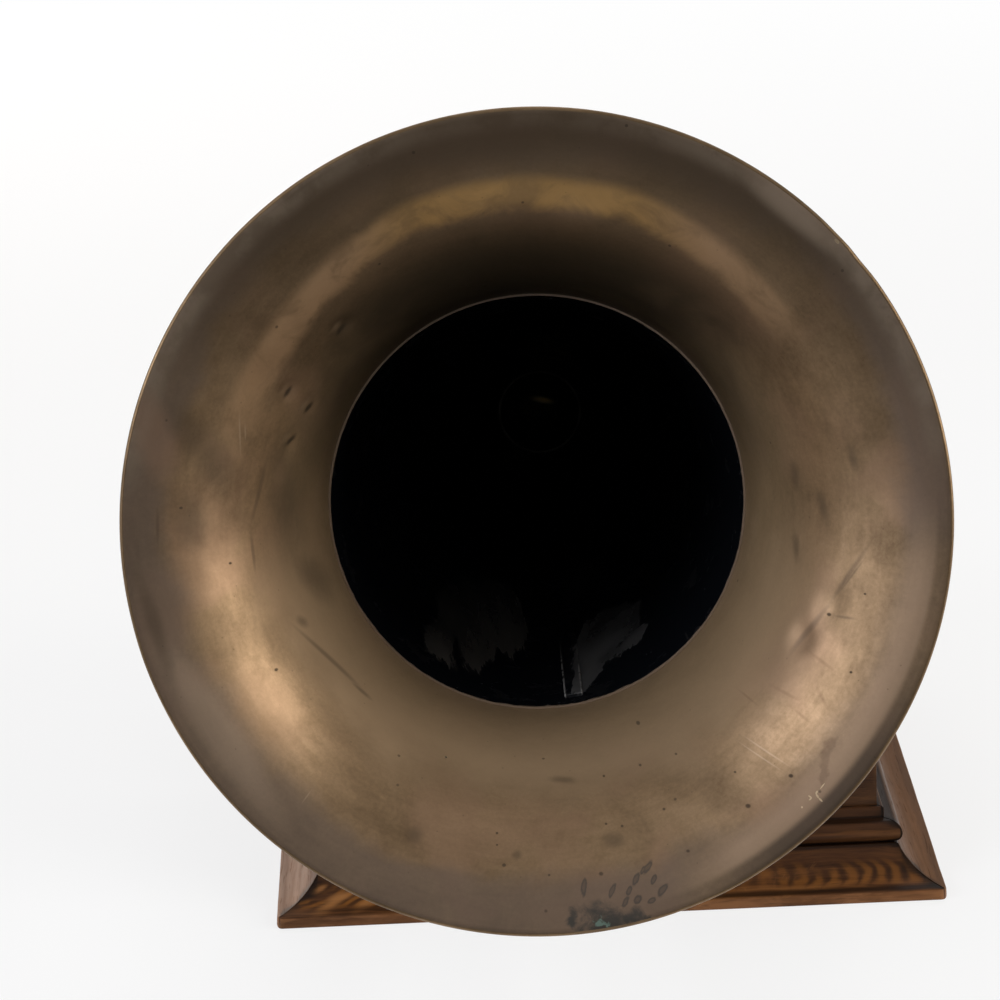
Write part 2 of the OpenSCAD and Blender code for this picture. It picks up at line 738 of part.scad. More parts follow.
module motor_bolts() color("silver")
    bolt_places() {
        translate([0, 0, bedplate_z - screw_head_h]) {
            cylinder(d = screw_d, h = screw_head_h + bedplate_t + board_t + edge);
            cylinder(d = screw_head_d, h = screw_head_h, $fn = 6);
        }
        translate([0, 0, board_top]) screw_head();
    }
module one_way_clutch() color("gray")
    at(barrel, bedplate_z - clutch_h) tube(clutch_d, arbor_d + 2 * run_fit, clutch_h);

// Turntable and the pieces that turn with it
hub_in = spindle_d / 2 + seat_fit;
rim_in = platter_r - rim_t;
web_z = plate_top - plate_t;
module turntable() color("dimgray")
    rotate_extrude() polygon([
        [hub_in, rim_z - hub_drop], [hub_d / 2 - 3 * edge, rim_z - hub_drop],
        [hub_d / 2, web_z - 3 * edge], [hub_d / 2 + 3 * edge, web_z],
        [rim_in - 2 * edge, web_z], [rim_in, web_z - 2 * edge], [rim_in, rim_z],
        [platter_r - edge, rim_z], [platter_r, rim_z + edge],
        [platter_r, plate_top - edge], [platter_r - edge, plate_top], [hub_in, plate_top]]);
module turntable_felt() color("darkgreen")
    translate([0, 0, plate_top]) tube(platter_d - 4 * edge, 2 * hub_in, felt_t);
record_pin_r = record_pin_d / 2;
record_pin_top = felt_top + record_pin_h;
module spindle() color("silver") {
    rotate_extrude() polygon([
        [0, shaft_foot], [spindle_d / 2, shaft_foot], [spindle_d / 2, felt_top], [record_pin_r, felt_top],
        [record_pin_r, record_pin_top], [record_pin_r - edge, record_pin_top + edge],
        [0, record_pin_top + edge]]);
    translate([0, 0, lower_top + wheel_z - edge]) linear_extrude(wheel_t + 2 * edge)
        rotate(layshaft_to_spindle + 180 + 180 / pinion_teeth) gear_outline(pinion_teeth, train_mod);
}
// The teeth lean by the worm's lead angle
governor_wheel_twist = governor_wheel_t * worm_lead / (PI * worm_d) / governor_r * 180 / PI;
module governor_wheel() color("goldenrod")
    translate([0, 0, governor_level]) difference() {
        union() {
            translate([0, 0, -governor_wheel_t / 2]) rotate(-governor_wheel_twist / 2)
                linear_extrude(governor_wheel_t, twist = -governor_wheel_twist, slices = 2)
                    gear_outline(governor_teeth, worm_mod);
            translate([0, 0, -governor_wheel_t / 2 - hub_l])
                cylinder(d = spindle_d + 2 * hub_wall, h = governor_wheel_t + hub_l);
        }
        drill(2 * hub_in, -governor_wheel_t / 2 - hub_l, governor_wheel_t / 2);
    }

// Intermediate shaft
wheel_r = wheel_teeth * train_mod / 2;
module intermediate_shaft() color("silver")
    at(layshaft, 0) {
        translate([0, 0, shaft_foot]) cylinder(d = layshaft_d, h = shaft_top - shaft_foot);
        translate([0, 0, drum_top - ring_gear_h - edge]) linear_extrude(ring_gear_h + 2 * edge)
            rotate(barrel_to_layshaft + 180 + 180 / pinion_teeth) gear_outline(pinion_teeth, barrel_mod);
    }
module intermediate_wheel() color("goldenrod")
    at(layshaft, lower_top + wheel_z) difference() {
        union() {
            linear_extrude(wheel_t) rotate(layshaft_to_spindle) gear_outline(wheel_teeth, train_mod);
            translate([0, 0, -hub_l]) cylinder(d = layshaft_d + 2 * hub_wall, h = hub_l + cut);
        }
        drill(layshaft_d + 2 * seat_fit, -hub_l, wheel_t);
        for (i = [1:web_holes])
            rotate(360 / web_holes * i) translate([wheel_r / 2 + edge, 0, 0]) drill(web_hole_d, 0, wheel_t);
    }

// Spring barrel
module spring_barrel() color("gray")
    at(barrel, 0) difference() {
        union() {
            translate([0, 0, drum_floor]) cylinder(d = drum_d, h = drum_h);
            translate([0, 0, drum_top - ring_gear_h]) linear_extrude(ring_gear_h)
                rotate(barrel_to_layshaft) gear_outline(barrel_teeth, barrel_mod);
            translate([0, 0, drum_floor - hub_l]) cylinder(d = arbor_d + 2 * hub_wall, h = hub_l + cut);
        }
        drill(drum_d - 2 * drum_wall, drum_floor + drum_wall + cut, drum_top);
        drill(arbor_d + 2 * run_fit, drum_floor - hub_l, drum_floor + drum_wall);
    }
module barrel_cover() color("silver")
    at(barrel, drum_top) tube(drum_d + 2 * edge, arbor_d + 2 * run_fit, cover_t);
spring_in = arbor_d / 2 + edge;
spring_pitch = (drum_d / 2 - drum_wall - side_play - spring_t - spring_in) / spring_turns;
turn_steps = 24;
function spiral(i, side) = polar(spring_in + side + spring_pitch * i / turn_steps, i * 360 / turn_steps);
spring_edge = [for (i = [0:spring_turns * turn_steps]) i];
module mainspring() color("slategray")
    at(barrel, drum_floor + drum_wall + side_play) linear_extrude(drum_h - drum_wall - 2 * side_play)
        polygon(concat(
            [for (i = spring_edge) spiral(i, 0)],
            [for (i = reversed(spring_edge)) spiral(i, spring_t)]));

// Winding: a bevel wheel on the arbor and its pinion on the crank's shaft
bevel_pinion_h = bevel_r * bevel_h / bevel_pinion_r;
module bevel_outline(teeth) gear_outline(teeth, bevel_mod, 0.55, 1.05, 0.15, 0.05);
module winding_arbor() color("silver")
    at(barrel, shaft_foot) cylinder(d = arbor_d, h = shaft_top - shaft_foot);
module winding_wheel() color("goldenrod")
    at(barrel, bevel_base) difference() {
        union() {
            linear_extrude(bevel_h, scale = 1 - bevel_h / bevel_pinion_r)
                rotate(180) bevel_outline(bevel_teeth);
            translate([0, 0, -hub_l]) cylinder(d = arbor_d + 2 * hub_wall, h = hub_l + cut);
        }
        drill(arbor_d + 2 * seat_fit, -hub_l, bevel_h);
    }
// The crank's shaft and rod meet behind the case wall
crank_start = case_r - wall_t - side_play;
module crank_shaft() color("silver")
    translate([-barrel_x - bevel_r, barrel_y, crank_z]) {
        along_right() linear_extrude(bevel_pinion_h, scale = 1 - bevel_pinion_h / bevel_r)
            rotate(180 / bevel_pinion_teeth) bevel_outline(bevel_pinion_teeth);
        translate([cut, 0, 0]) along_left() cylinder(d = crank_d, h = crank_start - barrel_x - bevel_r + cut);
    }

// Crank outside the case: the rod runs out, turns to the back and ends in the handle's pin
handle_pin_l = handle_l + 3 * side_play;
module crank_rod() color("silver")
    translate([0, barrel_y, crank_z]) {
        translate([-crank_start, 0, 0]) along_left()
            cylinder(d = crank_d, h = crank_x - crank_bend - crank_start);
        translate([-crank_x + crank_bend, 0, 0]) rotate([0, 0, -90]) rotate([90, 0, 0])
            bend(crank_bend, crank_d);
        translate([-crank_x, crank_bend, 0]) along_y()
            cylinder(d = crank_d, h = crank_throw - 2 * crank_bend);
        translate([-crank_x, crank_throw - crank_bend, 0]) along_y() bend(crank_bend, crank_d);
        translate([-crank_x - crank_bend, crank_throw, 0]) along_left() {
            cylinder(d = crank_d, h = side_play);
            cylinder(d = handle_pin_d, h = handle_pin_l);
            translate([0, 0, handle_pin_l])
                cylinder(d1 = handle_pin_d + 4 * edge, d2 = handle_pin_d, h = 3 * edge);
        }
    }
// Shares of the handle's diameter and length: it swells from the crank and rounds off at its end
handle_profile = concat(
    [[0, 0], [0.36, 0]],
    arc([0.4, 0.05], [0.5, 0.62], -0.02, arc_steps),
    arc([0.5, 0.66], [0.3, 1], 0.08, arc_steps),
    [[0, 1]]);
module crank_handle() color("maroon")
    translate([-crank_x - crank_bend - 2 * side_play, barrel_y + crank_throw, crank_z])
        along_left() difference() {
            rotate_extrude() polygon([for (p = handle_profile) [p.x * handle_d, p.y * handle_l]]);
            drill(handle_pin_d + 2 * run_fit, 0, handle_l);
        }

// Governor: a worm shaft with three flyweights on leaf springs and a disc that is braked for speed
worm_tip = 0.8;
worm_root = -1.15;
worm_thread = [
    [-0.3, worm_root], [-0.13, worm_tip], [0, worm_tip],
    [0.13, worm_tip], [0.3, worm_root], [0.5, worm_root]];
module worm_outline()
    polygon([for (i = [1:worm_starts]) for (c = worm_thread)
        polar(worm_d / 2 + c.y * worm_mod, (i + c.x) * 360 / worm_starts)]);
worm_turn = 360 * worm_l / worm_lead;
worm_phase = 180 - worm_turn / 2 + 180 / worm_starts;
worm_slices = 40;
shaft_past = bearing_t / 2 + 2 * edge;
module governor_shaft() color("silver")
    governor_frame() {
        translate([0, 0, -front_bearing_y - shaft_past])
            cylinder(d = governor_shaft_d, h = front_bearing_y + rear_bearing_y + 2 * shaft_past);
        translate([0, 0, -worm_l / 2]) rotate(worm_phase)
            linear_extrude(worm_l, twist = -worm_turn, slices = worm_slices) worm_outline();
    }
collar_r = governor_shaft_d / 2 + collar_t;
leaf_rise = weight_orbit - weight_d / 2 - collar_r + leaf_t / 2;
leaf_step = 0.25;
function leaf_edge(lift) =
    [for (u = [-1:leaf_step:1])
        [collar_r - leaf_t / 2 + lift + leaf_rise * (cos(180 * u) + 1) / 2, weight_y + leaf_reach * u]];
module governor_springs() color("goldenrod")
    governor_frame() {
        for (y = [weight_y - leaf_reach, weight_y + leaf_reach])
            translate([0, 0, y - hub_l / 2]) tube(2 * collar_r, governor_shaft_d + 2 * seat_fit, hub_l);
        for (i = [0:2])
            rotate(120 * i) translate([0, leaf_w / 2, 0]) rotate([90, 0, 0]) linear_extrude(leaf_w)
                polygon(concat(leaf_edge(0), reversed(leaf_edge(leaf_t))));
    }
module governor_weights() color("slategray")
    governor_frame() for (i = [0:2])
        rotate(120 * i) translate([weight_orbit + leaf_t + seat_fit - weight_flat, 0, weight_y])
            difference() {
                sphere(d = weight_d);
                translate([weight_flat - 1.5 * weight_d, -weight_d, -weight_d])
                    cube([weight_d, 2 * weight_d, 2 * weight_d]);
            }
disc_y = weight_y + leaf_reach + hub_l / 2;
module governor_disc() color("goldenrod")
    governor_frame() translate([0, 0, disc_y]) tube(disc_d, governor_shaft_d + 2 * seat_fit, disc_t);

// Speed lever on the top board, with the friction arm under it
module speed_frame() translate([post_offset, post_offset, 0]) children();
lever_z = board_top + speed_plate_t + side_play;
lever_dir = 45;
pad_at = [governor_x + disc_d / 2 - pad_d / 2 - edge, disc_y + disc_t + pad_gap];
arm_end = [pad_at.x, pad_at.y + pad_t + friction_arm_t / 2];
arm_run = arm_end - [post_offset, post_offset];
post_foot = governor_level - friction_arm_w / 2 - 3 * edge;
module speed_plate() color("silver")
    speed_frame() translate([0, 0, board_top]) tube(speed_plate_d, speed_post_d + 2 * run_fit, speed_plate_t);
module speed_post() color("silver")
    speed_frame() translate([0, 0, post_foot])
        cylinder(d = speed_post_d, h = lever_z + speed_hub_h + edge - post_foot);
module speed_lever() color("silver")
    speed_frame() translate([0, 0, lever_z]) difference() {
        union() {
            cylinder(d = speed_post_d + 2 * hub_wall, h = speed_hub_h);
            rotate(lever_dir) {
                translate([0, -speed_lever_w / 2, edge])
                    cube([speed_lever_l - speed_knob_d / 2, speed_lever_w, speed_lever_t]);
                translate([speed_lever_l - speed_knob_d / 2, 0, edge])
                    cylinder(d = speed_knob_d, h = speed_knob_h);
            }
        }
        drill(speed_post_d + 2 * seat_fit, 0, speed_hub_h);
    }
module friction_arm() color("gray")
    speed_frame() translate([0, 0, governor_level]) difference() {
        union() {
            translate([0, 0, -friction_arm_w / 2])
                cylinder(d = speed_post_d + 2 * hub_wall, h = friction_arm_w);
            rotate(bearing([0, 0], arm_run)) translate([0, -friction_arm_t / 2, -friction_arm_w / 2])
                cube([norm(arm_run) - edge, friction_arm_t, friction_arm_w]);
            at(arm_run - [0, friction_arm_t / 2], 0) along_y() cylinder(d = pad_d + edge, h = friction_arm_t);
        }
        drill(speed_post_d + 2 * seat_fit, -friction_arm_w / 2, friction_arm_w / 2);
    }
module friction_pad() color("saddlebrown")
    at(pad_at, governor_level) along_y() cylinder(d = pad_d, h = pad_t);

// Brake on the top board
brake_pivot_at = polar(platter_r + brake_out, brake_angle);
brake_pad_at = polar(platter_r + side_play + brake_pad_d / 2, brake_pad_angle);
brake_dir = bearing(brake_pivot_at, brake_pad_at);
brake_l = norm(brake_pad_at - brake_pivot_at);
brake_z = board_top + brake_lift;
brake_top = brake_z + brake_t;
module brake_lever() color("silver")
    at(brake_pivot_at, brake_z) difference() {
        union() {
            cylinder(d = brake_w + 4 * edge, h = brake_t);
            rotate(brake_dir) {
                translate([0, -brake_w / 2, 0]) cube([brake_l, brake_w, brake_t]);
                translate([brake_l, 0, 0]) cylinder(d = brake_w, h = brake_t);
            }
            rotate(brake_dir + brake_knee) {
                translate([0, -brake_w / 2, 0]) cube([brake_tab, brake_w, brake_t]);
                translate([brake_tab, 0, 0]) cylinder(d = brake_w + 2 * edge, h = brake_t + brake_tab_h);
            }
        }
        drill(screw_d + 2 * run_fit, 0, brake_t);
    }
module brake_pad() color("saddlebrown")
    at(brake_pad_at, brake_top) cylinder(d = brake_pad_d, h = plate_top - edge - brake_top);
module brake_pivot() color("silver")
    at(brake_pivot_at, 0) {
        translate([0, 0, board_top - screw_bite])
            cylinder(d = screw_d, h = brake_top + side_play - board_top + screw_bite);
        translate([0, 0, board_top]) cylinder(d = screw_head_d, h = brake_lift - side_play / 2);
        translate([0, 0, brake_top + side_play / 2]) screw_head();
    }

// Yoke that swivels in the bracket and carries the horn's trunnions
stem_z = -yoke_out - collar_h;
stem_l = socket_h - socket_floor;
module horn_yoke() color("silver")
    swing_frame() difference() {
        union() {
            rotate([90, 0, 0]) rotate([0, 0, 180]) rotate_extrude(angle = 180)
                translate([yoke_r, -yoke_w / 2]) square([yoke_t, yoke_w]);
            for (side = [-1, 1])
                translate([side * (yoke_r + yoke_t / 2), 0, 0]) along_right()
                    cylinder(d = yoke_ear_d, h = yoke_t, center = true);
            translate([0, 0, stem_z]) cylinder(d = collar_d, h = collar_h + edge);
            translate([0, 0, stem_z - stem_l]) cylinder(d = stem_d, h = stem_l + cut);
        }
        along_right() cylinder(d = trunnion_d + 2 * run_fit, h = 3 * yoke_out, center = true);
        along_y() cylinder(r = yoke_r, h = 2 * yoke_ear_d, center = true);
    }

// Horn: the bell's wall turns evenly from the horn body's slope to the flare angle at its rim
bell_r = throat_d / 2 + sheet_t + seat_fit;
lip_r = (mouth_d - rim_bead_d) / 2;
bell_steps = 16;
bell_nudge = 0.01;
function bell_point(u) =
    let (t = flare_angle * u, run = bell_depth * sin(t) / sin(flare_angle),
         swell = lip_r - bell_r - body_slope * bell_depth)
    [bell_r + body_slope * run + swell * (1 - cos(t)) / (1 - cos(flare_angle)), bell_y - run];
function bell_normal(u) =
    let (d = bell_point(u + bell_nudge) - bell_point(u - bell_nudge)) [-d.y, d.x] / norm(d);
bell_us = [for (i = [0:bell_steps]) i / bell_steps];
bell_lap_r = bell_r - body_slope * lap;
module horn_bell() color("darkgoldenrod")
    horn_frame() along_y() rotate_extrude() {
        polygon(concat(
            [[bell_lap_r, bell_y + lap]],
            [for (u = bell_us) bell_point(u)],
            [for (u = reversed(bell_us)) bell_point(u) + sheet_t * bell_normal(u)],
            [[bell_lap_r + sheet_t, bell_y + lap]]));
        translate([lip_r, -rim_reach + rim_bead_d / 2]) circle(d = rim_bead_d);
    }
seam_sunk = sheet_t / 2;
module horn_body() color("black")
    horn_frame() {
        along_y() rotate_extrude() polygon([
            [small_d / 2, small_end], [throat_d / 2, bell_y],
            [throat_d / 2 + sheet_t, bell_y], [small_d / 2 + sheet_t, small_end]]);
        rotate([0, -seam_angle, 0]) translate([-seam_w / 2, bell_y + lap, -body_r(bell_y + lap) - seam_sunk])
            rotate([atan(body_slope), 0, 0]) cube([seam_w, body_l - 2 * lap, seam_t + seam_sunk]);
    }

// Ring clamp, with bosses that stop short of the yoke's round inner face
boss_r = trunnion_d / 2 + hub_wall;
boss_end = sqrt(pow(yoke_r, 2) - pow(boss_r, 2)) - side_play;
ear_z = clamp_r + ear_h / 2;
clamp_in = sheet_t + seat_fit;
ear_out = clamp_slot / 2 + ear_t;
module horn_clamp() color("silver")
    horn_frame() difference() {
        union() {
            along_y() cylinder(r = clamp_r, h = clamp_w, center = true);
            translate([-ear_out, -clamp_w / 2, 0]) cube([2 * ear_out, clamp_w, clamp_r + ear_h]);
            along_right() cylinder(r = boss_r, h = 2 * boss_end, center = true);
        }
        along_y() translate([0, 0, -clamp_w])
            cylinder(r1 = body_r(-clamp_w) + clamp_in, r2 = body_r(clamp_w) + clamp_in, h = 2 * clamp_w);
        translate([-clamp_slot / 2, -clamp_w, 0]) cube([clamp_slot, 2 * clamp_w, 2 * clamp_r]);
        along_right() cylinder(d = trunnion_thread_d + 2 * seat_fit, h = 3 * clamp_r, center = true);
        translate([0, 0, ear_z]) along_right() cylinder(d = screw_hole_d, h = clamp_r, center = true);
    }
module clamp_screw() color("silver")
    horn_frame() translate([-ear_out, 0, ear_z]) along_right() {
        rotate([180, 0, 0]) screw_head();
        translate([0, 0, -edge]) cylinder(d = screw_d, h = edge + 2 * ear_out + screw_head_h);
        translate([0, 0, 2 * ear_out]) cylinder(d = screw_head_d, h = screw_head_h, $fn = 6);
    }
trunnion_in = clamp_r - clamp_t + edge;
module trunnion_screws() color("silver")
    horn_frame() for (side = [0, 1]) mirror([side, 0, 0]) along_right() {
        translate([0, 0, trunnion_in]) cylinder(d = trunnion_thread_d, h = yoke_r - trunnion_in);
        translate([0, 0, boss_end]) cylinder(d = trunnion_d, h = yoke_out + side_play + edge - boss_end);
        translate([0, 0, yoke_out + side_play])
            cylinder(d1 = trunnion_head_d, d2 = trunnion_head_d - 3 * edge, h = trunnion_head_t);
    }

// Brass ferrule and elbow behind the horn
ferrule_socket = elbow_start - ferrule_lap;
elbow_in = elbow_d / 2 - elbow_wall;
module horn_ferrule() color("goldenrod") {
    wide = small_d / 2 + sheet_t + seat_fit;
    flared = wide + body_slope * ferrule_lap;
    narrow = elbow_d / 2 + seat_fit;
    horn_frame() along_y() rotate_extrude() polygon([
        [flared, small_end - ferrule_lap], [wide, small_end], [small_d / 2 - edge, small_end],
        [elbow_in, ferrule_socket], [narrow, ferrule_socket], [narrow, elbow_start],
        [narrow + ferrule_wall, elbow_start], [narrow + ferrule_wall, ferrule_socket - edge],
        [wide + ferrule_wall, small_end + edge], [flared + ferrule_wall, small_end - ferrule_lap]]);
}
module elbow() color("goldenrod")
    horn_frame() difference() {
        elbow_run(elbow_d / 2, 0);
        elbow_run(elbow_in, cut);
    }
module elbow_run(r, past) {
    translate([0, ferrule_socket - past, 0]) along_y() cylinder(r = r, h = ferrule_lap + past);
    translate([0, elbow_start, 0]) along_y() bend(elbow_bend, 2 * r);
    translate([-elbow_bend, elbow_y, 0]) along_left() cylinder(r = r, h = neck_l + past);
}

// Soundbox: z of these profiles runs from the back of the box to its front, away from the elbow
seat_z = box_back_t + chamber_h;
film_z = seat_z + gasket_t;
face_z = film_z + diaphragm_t + gasket_t;
gasket_in = diaphragm_d / 2 - gasket_w;
box_r = box_d / 2;
box_in = diaphragm_d / 2 + seat_fit;
sleeve_in = elbow_d / 2 + seat_fit;
sleeve_out = elbow_d / 2 + sleeve_wall;
bar_z = face_z + face_t + side_play;
bar_x = -bar_z - bar_t / 2;
pivot_down = box_r + lug_t;
lug_gap = bar_w + 2 * side_play;
lug_foot = -pivot_down - lug_h / 3;
module soundbox_case() color("silver")
    soundbox_frame() difference() {
        union() {
            along_left() rotate_extrude() polygon([
                [elbow_in, 0], [sleeve_in, 0], [sleeve_in, -sleeve_l],
                [sleeve_out, -sleeve_l], [sleeve_out, 0], [box_r - 3 * edge, 0],
                [box_r, 2 * edge], [box_r, face_z], [box_in, face_z], [box_in, seat_z],
                [gasket_in, seat_z], [gasket_in, box_back_t], [elbow_in, box_back_t]]);
            for (side = [0, 1]) mirror([0, side, 0]) translate([-bar_z - bar_t, lug_gap / 2, lug_foot])
                cube([bar_z + bar_t - box_back_t, lug_t, lug_h]);
        }
        translate([bar_x, 0, -pivot_down]) along_y()
            cylinder(d = pivot_pin_d + 2 * run_fit, h = box_d, center = true);
        translate([-bar_z, 0, 0]) along_right() cylinder(r = box_in, h = bar_z - seat_z);
        translate([-bar_z, 0, 0]) along_right() cylinder(r = box_r + seat_fit, h = bar_z - face_z);
    }
module soundbox_gaskets() color("dimgray")
    soundbox_frame() along_left() for (z = [seat_z, film_z + diaphragm_t])
        translate([0, 0, z]) tube(diaphragm_d, 2 * gasket_in, gasket_t);
module diaphragm() color("linen")
    soundbox_frame() along_left() translate([0, 0, film_z]) cylinder(d = diaphragm_d, h = diaphragm_t);
module soundbox_ring() color("silver")
    soundbox_frame() along_left() rotate_extrude() polygon([
        [gasket_in, face_z], [box_r, face_z],
        [box_r, face_z + face_t - edge], [box_r - edge, face_z + face_t],
        [gasket_in + 2 * edge, face_z + face_t], [gasket_in, face_z + edge]]);

// Stylus bar, from the middle of the diaphragm over its pivot down to the needle's chuck
chuck_top = pivot_down + lug_t;
needle_screw_z = -chuck_top - chuck_l / 2;
film_front = film_z + diaphragm_t;
module stylus_bar() color("silver")
    soundbox_frame() difference() {
        union() {
            translate([-bar_z - bar_t, -bar_w / 2, -chuck_top]) cube([bar_t, bar_w, chuck_top + bar_w / 2]);
            along_left() translate([0, 0, film_front]) cylinder(d = bar_w, h = bar_z + edge - film_front);
            translate([bar_x, 0, -chuck_top - chuck_l]) cylinder(d = chuck_d, h = chuck_l);
            translate([bar_x, 0, -pivot_down]) along_y()
                cylinder(d = pivot_pin_d, h = lug_gap + 2 * lug_t, center = true);
        }
        translate([bar_x, 0, -chuck_top - chuck_l - edge]) cylinder(d = needle_d + 2 * seat_fit, h = chuck_l);
        translate([bar_x, 0, needle_screw_z]) along_left()
            cylinder(d = needle_thread_d + 2 * run_fit, h = chuck_d);
    }
needle_l = needle_reach - chuck_top - 2 * edge;
module needle() color("silver")
    soundbox_frame() translate([bar_x, 0, -needle_reach]) {
        cylinder(d1 = needle_tip_d, d2 = needle_d, h = needle_tip_l);
        translate([0, 0, needle_tip_l]) cylinder(d = needle_d, h = needle_l - needle_tip_l);
    }
module needle_screw() color("silver")
    soundbox_frame() translate([bar_x, 0, needle_screw_z]) along_left() {
        translate([0, 0, needle_d / 2 + side_play]) cylinder(d = needle_thread_d, h = chuck_d / 2 + 3 * edge);
        translate([0, 0, chuck_d / 2 + edge]) {
            cylinder(d1 = needle_head_d - 3 * edge, d2 = needle_head_d, h = needle_head_l / 2);
            translate([0, 0, needle_head_l / 2]) cylinder(d = needle_head_d, h = needle_head_l / 2);
        }
    }

base_moulding_front();
base_moulding_right();
base_moulding_back();
base_moulding_left();
case_front();
case_right();
case_back();
case_left();
bottom_board();
cornice();
top_board();
horn_bracket();
bracket_screws();
crank_bush();
motor_bedplate();
motor_lower_plate();
motor_pillars();
motor_bolts();
one_way_clutch();
speed_plate();
brake_pivot();
turntable();
turntable_felt();
spindle();
governor_wheel();
intermediate_shaft();
intermediate_wheel();
spring_barrel();
barrel_cover();
mainspring();
winding_arbor();
winding_wheel();
crank_shaft();
crank_rod();
crank_handle();
governor_shaft();
governor_springs();
governor_weights();
governor_disc();
speed_lever();
speed_post();
friction_arm();
friction_pad();
brake_lever();
brake_pad();
horn_yoke();
horn_bell();
horn_body();
horn_clamp();
clamp_screw();
trunnion_screws();
horn_ferrule();
elbow();
soundbox_case();
soundbox_gaskets();
diaphragm();
soundbox_ring();
stylus_bar();
needle();
needle_screw();
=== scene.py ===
"""Looks of the disc phonograph: dressed pieces, finishes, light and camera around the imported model."""
import json
from functools import reduce
from math import atan2, cos, degrees, hypot, pi, radians, sin

import bpy
from mathutils import Matrix, Vector


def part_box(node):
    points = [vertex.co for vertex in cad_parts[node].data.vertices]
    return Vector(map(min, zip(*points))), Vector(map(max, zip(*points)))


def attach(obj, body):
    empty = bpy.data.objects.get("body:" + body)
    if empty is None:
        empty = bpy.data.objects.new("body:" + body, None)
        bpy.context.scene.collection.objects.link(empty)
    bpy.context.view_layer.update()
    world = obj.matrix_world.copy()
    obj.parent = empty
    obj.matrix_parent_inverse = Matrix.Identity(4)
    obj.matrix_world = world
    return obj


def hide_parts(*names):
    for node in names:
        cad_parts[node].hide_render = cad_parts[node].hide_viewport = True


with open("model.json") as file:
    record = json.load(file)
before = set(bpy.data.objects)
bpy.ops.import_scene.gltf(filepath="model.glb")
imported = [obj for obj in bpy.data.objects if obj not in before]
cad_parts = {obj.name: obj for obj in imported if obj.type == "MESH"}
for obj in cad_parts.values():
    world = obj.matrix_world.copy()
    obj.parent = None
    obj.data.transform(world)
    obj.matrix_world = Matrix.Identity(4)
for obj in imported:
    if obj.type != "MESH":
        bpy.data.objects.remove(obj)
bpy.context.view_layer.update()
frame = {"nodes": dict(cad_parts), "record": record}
nodes = frame["nodes"]
body_of = {n: body for body, members in frame["record"]["behaviour"]["bodies"].items() for n in members}
slot_of = {row["node"]: row["material_slot"] for row in frame["record"]["subparts"]}
MM = 0.001
# Faces that meet at more than this, in degrees, have an arris between them
ARRIS_ANGLE = 32

# The horn's frame: its trunnions, with Y running along the horn towards the small end
HORN_AT = Vector((-0.0341, -0.377, 0.300978))
HORN_TURN = (radians(-12.71), 0.0, radians(-1.75))
HORN = (Matrix.Translation(HORN_AT) @ Matrix.Rotation(HORN_TURN[2], 4, "Z")
        @ Matrix.Rotation(HORN_TURN[0], 4, "X"))
UP_TO_Y = Matrix.Rotation(radians(-90), 4, "X")
UP_TO_LEFT = Matrix.Rotation(radians(-90), 4, "Y")


# Camera, floor and light

def set_camera():
    """A long lens, in front of the machine and above it."""
    right, up, back = (0.999, -0.0263, -0.0365), (0.0429, 0.3136, 0.9486), (-0.0135, -0.9492, 0.3144)
    fresh()
    bpy.ops.object.camera_add(location=(-0.0730644, -1.9642627, 0.8129718))
    cam = bpy.context.object
    cam.rotation_euler = Matrix((right, up, back)).transposed().to_euler()
    cam.data.sensor_fit = "HORIZONTAL"
    cam.data.sensor_width = 36
    cam.data.lens = 144
    cam.data.clip_end = 50
    bpy.context.scene.camera = cam


def softbox(name, place, aim, width, height, watts, tint=(1, 1, 1)):
    """A rectangular soft light that looks at a point."""
    fresh()
    bpy.ops.object.light_add(type="AREA", location=place)
    lamp = bpy.context.object
    lamp.name = name
    lamp.data.shape = "RECTANGLE"
    lamp.data.size = width
    lamp.data.size_y = height
    lamp.data.energy = watts
    lamp.data.color = tint
    lamp.rotation_euler = (Vector(aim) - Vector(place)).to_track_quat("-Z", "Y").to_euler()
    lamp.visible_camera = False


def set_light():
    bell_mouth = (-0.034, -0.60, 0.34)
    softbox("softbox_right", (1.50, -0.82, 0.84), bell_mouth, 1.1, 1.2, 20.5, (1, 0.97, 0.93))
    softbox("softbox_left", (-1.40, -1.10, 1.03), bell_mouth, 1.1, 1.2, 15.2, (0.97, 1, 1.1))
    softbox("softbox_top", (0.0, 0.2, 2.1), (0, 0, 0.2), 2.2, 1.8, 6)
    softbox("softbox_back", (0.3, 2.0, 1.7), (0, 0, 0.2), 1.6, 1.0, 12)
    softbox("softbox_back_left", (-0.95, 2.1, 0.55), (-0.15, -0.1, 0.02), 1.3, 1.1, 13, (1, 0.84, 0.72))
    bpy.context.scene.view_settings.view_transform = "Standard"


def set_world():
    """A pale room above and a dark one below the edge of the floor; the camera sees plain white."""
    world = bpy.data.worlds.new("studio")
    bpy.context.scene.world = world
    world.use_nodes = True
    room = Nodes(world.node_tree)
    way = room.add("ShaderNodeTexCoord", out="Generated")
    up = room.add("ShaderNodeSeparateXYZ", {0: way}, out="Z")
    level = room.add("ShaderNodeMapRange", {0: up, 1: -0.05, 2: 0.50, 3: 0.08, 4: 0.36})
    seen = room.add("ShaderNodeLightPath", out="Is Camera Ray")
    room.put(room.tree.nodes["Background"].inputs["Color"], room.mix(seen, level, (1, 1, 1)))


